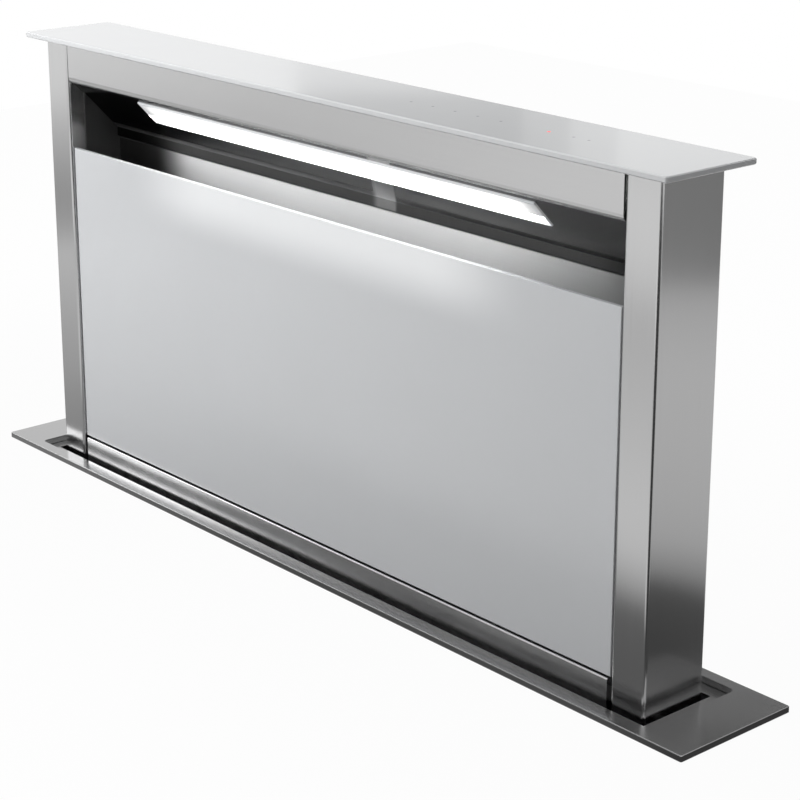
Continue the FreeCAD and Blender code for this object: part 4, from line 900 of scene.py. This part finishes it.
@dataclass(frozen=True)
class LiftDrive:
    """Threaded lift screws with their pulleys, belt, bearings and geared motor."""

    screw_x: float = 0.36415
    screw_y: float = -0.0009
    crest: float = 0.0060
    core: float = 0.0047
    turn_pitch: float = 0.005
    starts: int = 2
    top: float = -0.065
    run_out: float = 0.0015
    thread_foot: float = -0.5140
    rows_per_pitch: int = 6
    steps_per_turn: int = 20
    collar_radius: float = 0.010
    collar: Pair = (-0.5197, -0.5147)
    bevel: float = 0.0006
    tip_bevel: float = 0.0005
    belt_tone: Colour = (0.02, 0.02, 0.02)
    belt_teeth: float = 330.0

    def thread(self, mesh: bmesh.types.BMesh, x: float) -> None:
        """A trapezoidal thread as one skin of rings, each ring's radius following the helix.

        Args:
            mesh: where the faces go.
            x: the screw's place.
        """
        lead = self.turn_pitch * self.starts
        length = self.top - self.thread_foot
        rows = round(length / (self.turn_pitch / self.rows_per_pitch))
        rings = []
        for row in range(rows + 1):
            z = self.thread_foot + length * row / rows
            ends = max(0.0, min(1.0, (self.top - z) / self.run_out))
            ring = []
            for n in range(self.steps_per_turn):
                angle = math.tau * n / self.steps_per_turn
                phase = (z / lead - angle / math.tau) * self.starts
                share = abs((phase % 1.0) * 2 - 1)
                lift = min(1.0, max(0.0, (share - 0.25) / 0.5))
                radius = self.core + (self.crest - self.core) * lift * ends
                ring.append((x + radius * math.cos(angle), self.screw_y + radius * math.sin(angle), z))
            rings.append(ring)
        sweep(mesh, rings)

    def screw(self, side: int, name: str) -> None:
        """One lift screw, which stands for the plain node.

        Args:
            side: -1 for the left, 1 for the right.
            name: "left" or "right".
        """
        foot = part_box(f"lead_screw_{name}")[0].z
        x = side * self.screw_x
        low, high = self.collar
        mesh = bmesh.new()
        self.thread(mesh, x)
        profile = [
            (self.crest - self.tip_bevel, foot),
            (self.crest, foot + self.tip_bevel),
            (self.crest, low),
            (self.collar_radius - self.bevel, low),
            (self.collar_radius, low + self.bevel),
            (self.collar_radius, high - self.bevel),
            (self.collar_radius - self.bevel, high),
            (self.core, high),
            (self.core, self.thread_foot + 0.0002),
        ]
        lathe(mesh, (x, self.screw_y), profile, 40)
        made = new_piece(f"threaded_screw_{name}", f"screw_{name}", Shared.bright_steel, mesh)
        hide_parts(f"lead_screw_{name}")

    def build(self) -> None:
        """Build the two screws and dress the drive."""
        self.screw(-1, "left")
        self.screw(1, "right")
        dress(Shared.bright_steel, "lead_screw_left", "lead_screw_right", "lift_gearmotor")
        dress(Shared.black_plastic, "pulley_left", "pulley_right", "limit_switches")
        dress(Shared.grey_plastic, "screw_bearings")
        dress(SoftRubber("toothed_belt_rubber", self.belt_tone, self.belt_teeth), "drive_belt")
        dress(Shared.aluminium, "guide_rails")
        dress(Shared.zinc, "drive_plate")


@dataclass(frozen=True)
class SheetMetal:
    """Sheet-metal body with its screws, clamps and feet, and the cross recesses of the rear screws."""

    arm: float = 0.0019
    arm_width: float = 0.28
    proud: float = 0.00004
    sunk: float = 0.0003
    level_error: float = 1e-5
    head_reach: float = 0.0078
    head_gap: float = 0.0085

    def cross(self, mesh: bmesh.types.BMesh, middle: Vector) -> None:
        """A cross recess shown as a thin near-black solid of painted shade, laid a hair proud of a
        screw head that faces +Y.

        Args:
            mesh: where the faces go.
            middle: the centre of the head's outer face.
        """
        arm, width = self.arm, self.arm * self.arm_width
        outline = [
            (arm, width), (width, width), (width, arm), (-width, arm),
            (-width, width), (-arm, width), (-arm, -width), (-width, -width),
            (-width, -arm), (width, -arm), (width, -width), (arm, -width),
        ]
        face, back = (
            [mesh.verts.new((middle.x + u, middle.y + off, middle.z + v)) for u, v in outline]
            for off in (self.proud, -self.sunk)
        )
        mesh.faces.new(face)
        mesh.faces.new(list(reversed(back)))
        for n in range(len(outline)):
            after = (n + 1) % len(outline)
            mesh.faces.new((face[n], back[n], back[after], face[after]))

    def heads(self, node: str) -> list[Vector]:
        """The screw heads of a node that face +Y.

        Args:
            node: the node that holds the screws.

        Returns:
            The centres of their outer faces.
        """
        points = [v.co.copy() for v in frame["nodes"][node].data.vertices]
        centres: list[Vector] = []
        for level in sorted({round(p.y, 5) for p in points}, reverse=True):
            outer = [p for p in points if abs(p.y - level) < self.level_error]
            for point in outer:
                if any(math.hypot(c.x - point.x, c.z - point.z) < self.head_gap for c in centres):
                    continue
                reach = self.head_reach
                own = [p for p in outer if max(abs(p.x - point.x), abs(p.z - point.z)) < reach]
                xs = [p.x for p in own]
                zs = [p.z for p in own]
                centres.append(Vector(((min(xs) + max(xs)) / 2, level, (min(zs) + max(zs)) / 2)))
        return centres

    def build(self) -> None:
        """Dress the body and add the recesses."""
        dress(Shared.zinc, "duct_back", "duct_front", "duct_floor", "worktop_clamps", "cabinet_feet")
        dress(Shared.bright_steel, "panel_screws", "clamp_screws")
        mesh = bmesh.new()
        for centre in self.heads("rear_screws"):
            self.cross(mesh, centre)
        # painted shade: the recesses are a near-black finish standing in for the shade inside them
        dark = MouldedPlastic("painted_shade_screw_recess", (0.02, 0.02, 0.02), 0.5)
        made = new_piece("rear_screws_recesses", "head", dark, mesh)


@dataclass(frozen=True)
class BlowerBox:
    """Box, scroll, wheel and motor."""

    def build(self) -> None:
        """Dress the blower."""
        dress(Shared.zinc, "blower_box", "blower_cover", "scroll_wall", "scroll_inlet_plate")
        dress(Shared.zinc, "scroll_motor_plate", "blower_wheel")
        dress(Shared.bright_steel, "fan_motor", "fan_shaft")


@dataclass(frozen=True)
class OutletCollar:
    """Round outlet with two sprung flaps."""

    collar_x: float = 0.055
    collar_y: float = -0.1377
    pin_offset: float = 0.004
    pin_z: float = -0.571
    coil_radius: float = 0.0028
    wire_radius: float = 0.0005
    coil_turns: int = 7
    steps_per_turn: int = 18
    wire_sides: int = 8
    start: float = 0.0553
    length: float = 0.009

    def spring(self, mesh: bmesh.types.BMesh, x: float) -> None:
        """One coil round a flap's pin.

        Args:
            mesh: where the faces go.
            x: the pin's place.
        """
        steps = self.coil_turns * self.steps_per_turn
        first = self.collar_y + self.start + self.wire_radius
        travel = self.length - 2 * self.wire_radius
        rings = []
        for n in range(steps + 1):
            turn = math.tau * self.coil_turns * n / steps
            out = Vector((math.cos(turn), 0.0, math.sin(turn)))
            middle = Vector((x, first + travel * n / steps, self.pin_z)) + out * self.coil_radius
            ring = []
            for m in range(self.wire_sides):
                angle = math.tau * m / self.wire_sides
                aside = out * math.cos(angle) + Vector((0, 1, 0)) * math.sin(angle)
                ring.append(tuple(middle + aside * self.wire_radius))
            rings.append(ring)
        sweep(mesh, rings)

    def build(self) -> None:
        """Build the springs and dress the outlet."""
        mesh = bmesh.new()
        for side in (-1, 1):
            self.spring(mesh, self.collar_x + side * self.pin_offset)
        made = new_piece("coiled_flap_springs", "body", Shared.bright_steel, mesh)
        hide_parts("flap_springs")
        dress(Shared.bright_steel, "flap_springs", "flap_pins")
        dress(Shared.black_plastic, "outlet_collar")
        dress(Shared.aluminium, "flap_left", "flap_right")


@dataclass(frozen=True)
class ControlCase:
    """Control box with its board and cable gland."""

    def build(self) -> None:
        """Dress the control box."""
        dress(Shared.zinc, "control_box", "control_lid")
        dress(Shared.board, "power_board")
        dress(Shared.grey_plastic, "cable_gland")


# ------------------------------------------------------------------ studio
@dataclass(frozen=True)
class Flag:
    """An upright card that only reflections see, set round the object's middle."""

    name: str
    azimuth: Pair
    height: Pair
    distance: float
    tone: float

    def outline(self) -> list[Triple]:
        """Its four corners, from azimuths in degrees round +Z from +X."""
        first, last = (math.radians(a) for a in self.azimuth)
        ends = [(self.distance * math.cos(a), self.distance * math.sin(a)) for a in (first, last)]
        low, high = self.height
        return [(*ends[0], low), (*ends[1], low), (*ends[1], high), (*ends[0], high)]


@dataclass(frozen=True)
class SoftBox:
    """A soft area lamp that the camera never sees, and metal only where it shines."""

    name: str
    at: Triple
    aim: Triple
    size: Pair
    watts: float
    shines: bool = False

    def hang(self) -> bpy.types.Object:
        """Make the lamp and turn it to its aim."""
        data = bpy.data.lights.new(self.name, "AREA")
        data.shape = "RECTANGLE"
        data.size, data.size_y = self.size
        data.energy = self.watts
        made = bpy.data.objects.new(self.name, data)
        made.location = self.at
        made.rotation_euler = (Vector(self.aim) - Vector(self.at)).to_track_quat("-Z", "Y").to_euler()
        made.visible_glossy = self.shines
        made.visible_camera = False
        bpy.context.scene.collection.objects.link(made)
        return made


@dataclass(frozen=True)
class Studio:
    """Camera, pale worktop slab, backdrop, cards and lamps."""

    camera_at: Triple = (1.32271, -1.07784, 0.71656)
    azimuth: float = 49.130
    elevation: float = 17.041
    focal_pixels: float = 2158.47
    shift_up: float = -0.08
    picture: float = 800.0
    sensor: float = 36.0
    slab_half: float = 1.9
    slab_top: float = -0.0002
    paper_top: float = 0.0003
    hole: Pair = (0.4035, 0.0535)
    reach_from: Pair = (0.50, 0.058)
    left_stops: tuple[Pair, ...] = (
        (0.0, 0.38), (0.13, 0.48), (0.29, 0.56), (0.51, 0.68), (0.64, 0.75), (0.78, 0.50), (0.94, 0.42),
        (1.11, 0.48), (1.30, 0.60), (1.52, 0.74), (1.77, 0.88),
    )
    front_stops: tuple[Pair, ...] = (
        (0.0, 0.14), (0.11, 0.16), (0.15, 0.56), (0.20, 0.80), (0.27, 0.82), (0.45, 0.74), (0.60, 0.67),
        (0.74, 0.60), (0.84, 0.90), (1.00, 0.96), (1.26, 1.0), (1.45, 0.80), (1.77, 0.74),
    )
    right_stops: tuple[Pair, ...] = (
        (0.0, 0.07), (0.10, 0.10), (0.14, 0.36), (0.20, 0.54), (0.30, 0.60), (0.45, 0.64), (0.67, 0.66),
        (0.85, 0.62), (1.00, 0.58), (1.20, 0.49), (1.40, 0.40), (1.77, 0.34),
    )
    painted_corner_shade: Colour = (0.05, 0.05, 0.05)
    flags: tuple[Flag, ...] = (
        Flag("card_behind_left", (142.5, 133.0), (0.97, 3.6), 3.0, 0.14),
        Flag("card_behind_pale", (133.0, 131.0), (0.97, 3.6), 3.0, 0.40),
        Flag("card_behind_paler", (131.0, 129.0), (0.97, 3.6), 3.0, 0.70),
        Flag("card_behind_middle", (129.0, 92.0), (1.28, 3.6), 3.0, 0.12),
        Flag("card_behind_right", (80.0, 12.0), (0.0, 0.75), 1.70, 0.26),
        Flag("bright_strip_left", (203.0, 214.0), (0.50, 1.60), 2.4, 4.0),
        Flag("card_in_front_left", (215.0, 226.0), (0.55, 2.6), 2.6, 0.14),
        Flag("card_in_front_middle", (226.0, 252.0), (1.05, 2.6), 2.6, 0.10),
    )
    left_box: SoftBox = SoftBox(
        "soft_box_left", (-0.90, -1.15, 0.95), (-0.10, 0.0, 0.20), (0.9, 0.9), 20.0
    )
    hood_light: SoftBox = SoftBox(
        "hood_light", (-0.03, -0.0135, 0.3425), (-0.03, 0.0208, 0.297), (0.56, 0.012), 0.42, True
    )
    top_box: SoftBox = SoftBox("soft_box_top", (-0.3, 0.1, 2.2), (0.0, 0.0, 0.2), (1.6, 1.2), 15.4)

    def camera(self) -> None:
        """Stand the camera where the photograph was taken from."""
        data = bpy.data.cameras.new("photo_camera")
        data.sensor_fit = "HORIZONTAL"
        data.sensor_width = self.sensor
        data.lens = self.focal_pixels / self.picture * self.sensor
        data.shift_y = self.shift_up
        data.clip_start, data.clip_end = 0.05, 50.0
        made = bpy.data.objects.new("photo_camera", data)
        made.location = self.camera_at
        made.rotation_euler = (math.radians(90 - self.elevation), 0.0, math.radians(self.azimuth))
        bpy.context.scene.collection.objects.link(made)
        bpy.context.scene.camera = made

    @staticmethod
    def backdrop_share(g: Graph) -> Signal:
        """1 for rays from the camera, a reflection or through glass."""
        path = g.node("ShaderNodeLightPath")
        camera, glossy = g.out(path, "Is Camera Ray"), g.out(path, "Is Glossy Ray")
        return camera | glossy | g.out(path, "Is Transmission Ray")

    def reach(self, x: Signal, y: Signal) -> Signal:
        """The level distance outside a box round the trim, a little longer than it."""
        along = (abs(x) - self.reach_from[0]) | 0.0
        across = (abs(y) - self.reach_from[1]) | 0.0
        return (along * along + across * across) ** 0.5

    def slab_material(self) -> bpy.types.Material:
        """Pale worktop: white to the camera, with the object's soft shadow kept and painted shade in
        its own colour near the trim.
        """
        made, g = blank("pale_worktop")
        mottle = g.noise(60.0, 3.0, 0.6)
        x, y, _ = g.axes()
        # painted shade: the slab's own colour darker near the trim, a soft contact shade that also dims
        # the light it bounces onto the object
        far = g.step(self.reach(x, y), 0.05, 0.60)
        base = g.blend(far * 0.9 + mottle * 0.1, (0.22, 0.22, 0.22), (0.78, 0.78, 0.78))
        lit = g.node("ShaderNodeBsdfDiffuse", {}, {"Color": base})
        share = self.backdrop_share(g) * 0.97
        values = {0: share, 1: lit.outputs[0], 2: g.emit(WHITE).outputs[0]}
        g.show(g.node("ShaderNodeMixShader", {}, values))
        return made

    @staticmethod
    def tones(g: Graph, reach: Signal, stops: Sequence[Pair]) -> Signal:
        """A grey that follows the distance from the trim.

        Args:
            g: the material's graph.
            reach: that distance.
            stops: pairs of distance and tone.

        Returns:
            The tone.
        """
        last = stops[-1][0]
        greys = [(place / last, (tone, tone, tone)) for place, tone in stops]
        return g.out(g.node("ShaderNodeValToRGB", {"stops": greys}, {0: reach / last}))

    def paper_material(self) -> bpy.types.Material:
        """Grey paper seen only in reflections, painted shade for the metal: its tone set by the
        distance from the trim on three sides, with a dark corner.
        """
        made, g = blank("shaded_paper")
        x, y, _ = g.axes()
        reach = self.reach(x, y)
        # painted shade for reflections: grey tones that follow the distance from the trim
        sides = (self.left_stops, self.front_stops, self.right_stops)
        left, front, right = (self.tones(g, reach, stops) for stops in sides)
        tone = g.blend(g.step(x + reach * 0.75, -0.50, 0.05), left, front)
        tone = g.blend(g.step(x, 0.36, 0.46), tone, right)
        # painted shade: a dark corner in front of the trim's right end
        corner = g.step(x, 0.40, 0.46) * (1.0 - g.step(y, -0.13, -0.08))
        g.show(g.emit(g.blend(corner, tone, self.painted_corner_shade)))
        return made

    def sheet_with_hole(
        self, name: str, height: float, material: bpy.types.Material
    ) -> bpy.types.Object:
        """A level sheet, cut out under the well.

        Args:
            name: its name.
            height: how high it lies.
            material: its material.

        Returns:
            The new stage object.
        """
        mesh = bmesh.new()
        xs, ys = ((-self.slab_half, -half, half, self.slab_half) for half in self.hole)
        for i in range(3):
            for j in range(3):
                if (i, j) == (1, 1):
                    continue
                corners = [(i, j), (i + 1, j), (i + 1, j + 1), (i, j + 1)]
                mesh.faces.new([mesh.verts.new((xs[a], ys[b], height)) for a, b in corners])
        bmesh.ops.remove_doubles(mesh, verts=mesh.verts, dist=1e-6)
        return self.stage_piece(name, mesh, material)

    @staticmethod
    def stage_piece(
        name: str, mesh: bmesh.types.BMesh, material: bpy.types.Material
    ) -> bpy.types.Object:
        """Link a piece of the stage.

        Args:
            name: its name.
            mesh: its geometry, which is freed.
            material: its material.

        Returns:
            The new stage object.
        """
        data = bpy.data.meshes.new(name)
        mesh.to_mesh(data)
        mesh.free()
        data.materials.append(material)
        made = bpy.data.objects.new(name, data)
        bpy.context.scene.collection.objects.link(made)
        return made

    @staticmethod
    def for_reflections(item: bpy.types.Object) -> None:
        """Let only reflections see an object."""
        item.visible_camera = False
        item.visible_diffuse = False
        item.visible_shadow = False
        item.visible_transmission = False

    def cards(self) -> None:
        """The paper round the trim and the upright cards."""
        paper = self.sheet_with_hole("shaded_paper", self.paper_top, self.paper_material())
        self.for_reflections(paper)
        for flag in self.flags:
            made, g = blank(flag.name)
            g.show(g.emit((flag.tone, flag.tone, flag.tone)))
            mesh = bmesh.new()
            mesh.faces.new([mesh.verts.new(corner) for corner in flag.outline()])
            self.for_reflections(self.stage_piece(flag.name, mesh, made))

    def world(self) -> None:
        """White backdrop to camera, metal and glass; a plain gradient lights matt surfaces."""
        made = bpy.data.worlds.new("studio_world")
        bpy.context.scene.world = made
        made.use_nodes = True
        g = Graph(made.node_tree)
        x, _, z = g.axes(g.node("ShaderNodeTexCoord").outputs["Generated"])
        level = 0.16 + g.step(z, -0.3, 0.8) * 0.42 - g.step(x, -0.9, 0.9) * 0.14
        colour = g.blend(self.backdrop_share(g), g.blend(level, BLACK, WHITE), WHITE)
        backdrop = g.node("ShaderNodeBackground", {}, {"Color": colour, "Strength": 1.0})
        g.show(backdrop, "ShaderNodeOutputWorld")

    def build(self) -> None:
        """Set up the whole studio."""
        self.camera()
        self.sheet_with_hole("worktop_slab", self.slab_top, self.slab_material())
        self.cards()
        self.world()
        self.left_box.hang()
        self.hood_light.hang().parent = frame["bodies"]["head"]
        self.top_box.hang()
        bpy.context.scene.view_settings.view_transform = "Standard"
        log.info("studio set with %d cards", len(self.flags))


def main() -> None:
    """Build every sub-assembly and the studio."""
    logging.basicConfig(level=logging.INFO, format="%(name)s: %(message)s")
    for part in (
        WorktopTrim(), LiftingHead(), GlassDoor(), GreaseFilters(), LiftDrive(),
        SheetMetal(), BlowerBox(), OutletCollar(), ControlCase(),
    ):
        part.build()
        log.info("%s built", type(part).__name__)
    Studio().build()


if __name__ == "__main__":
    main()
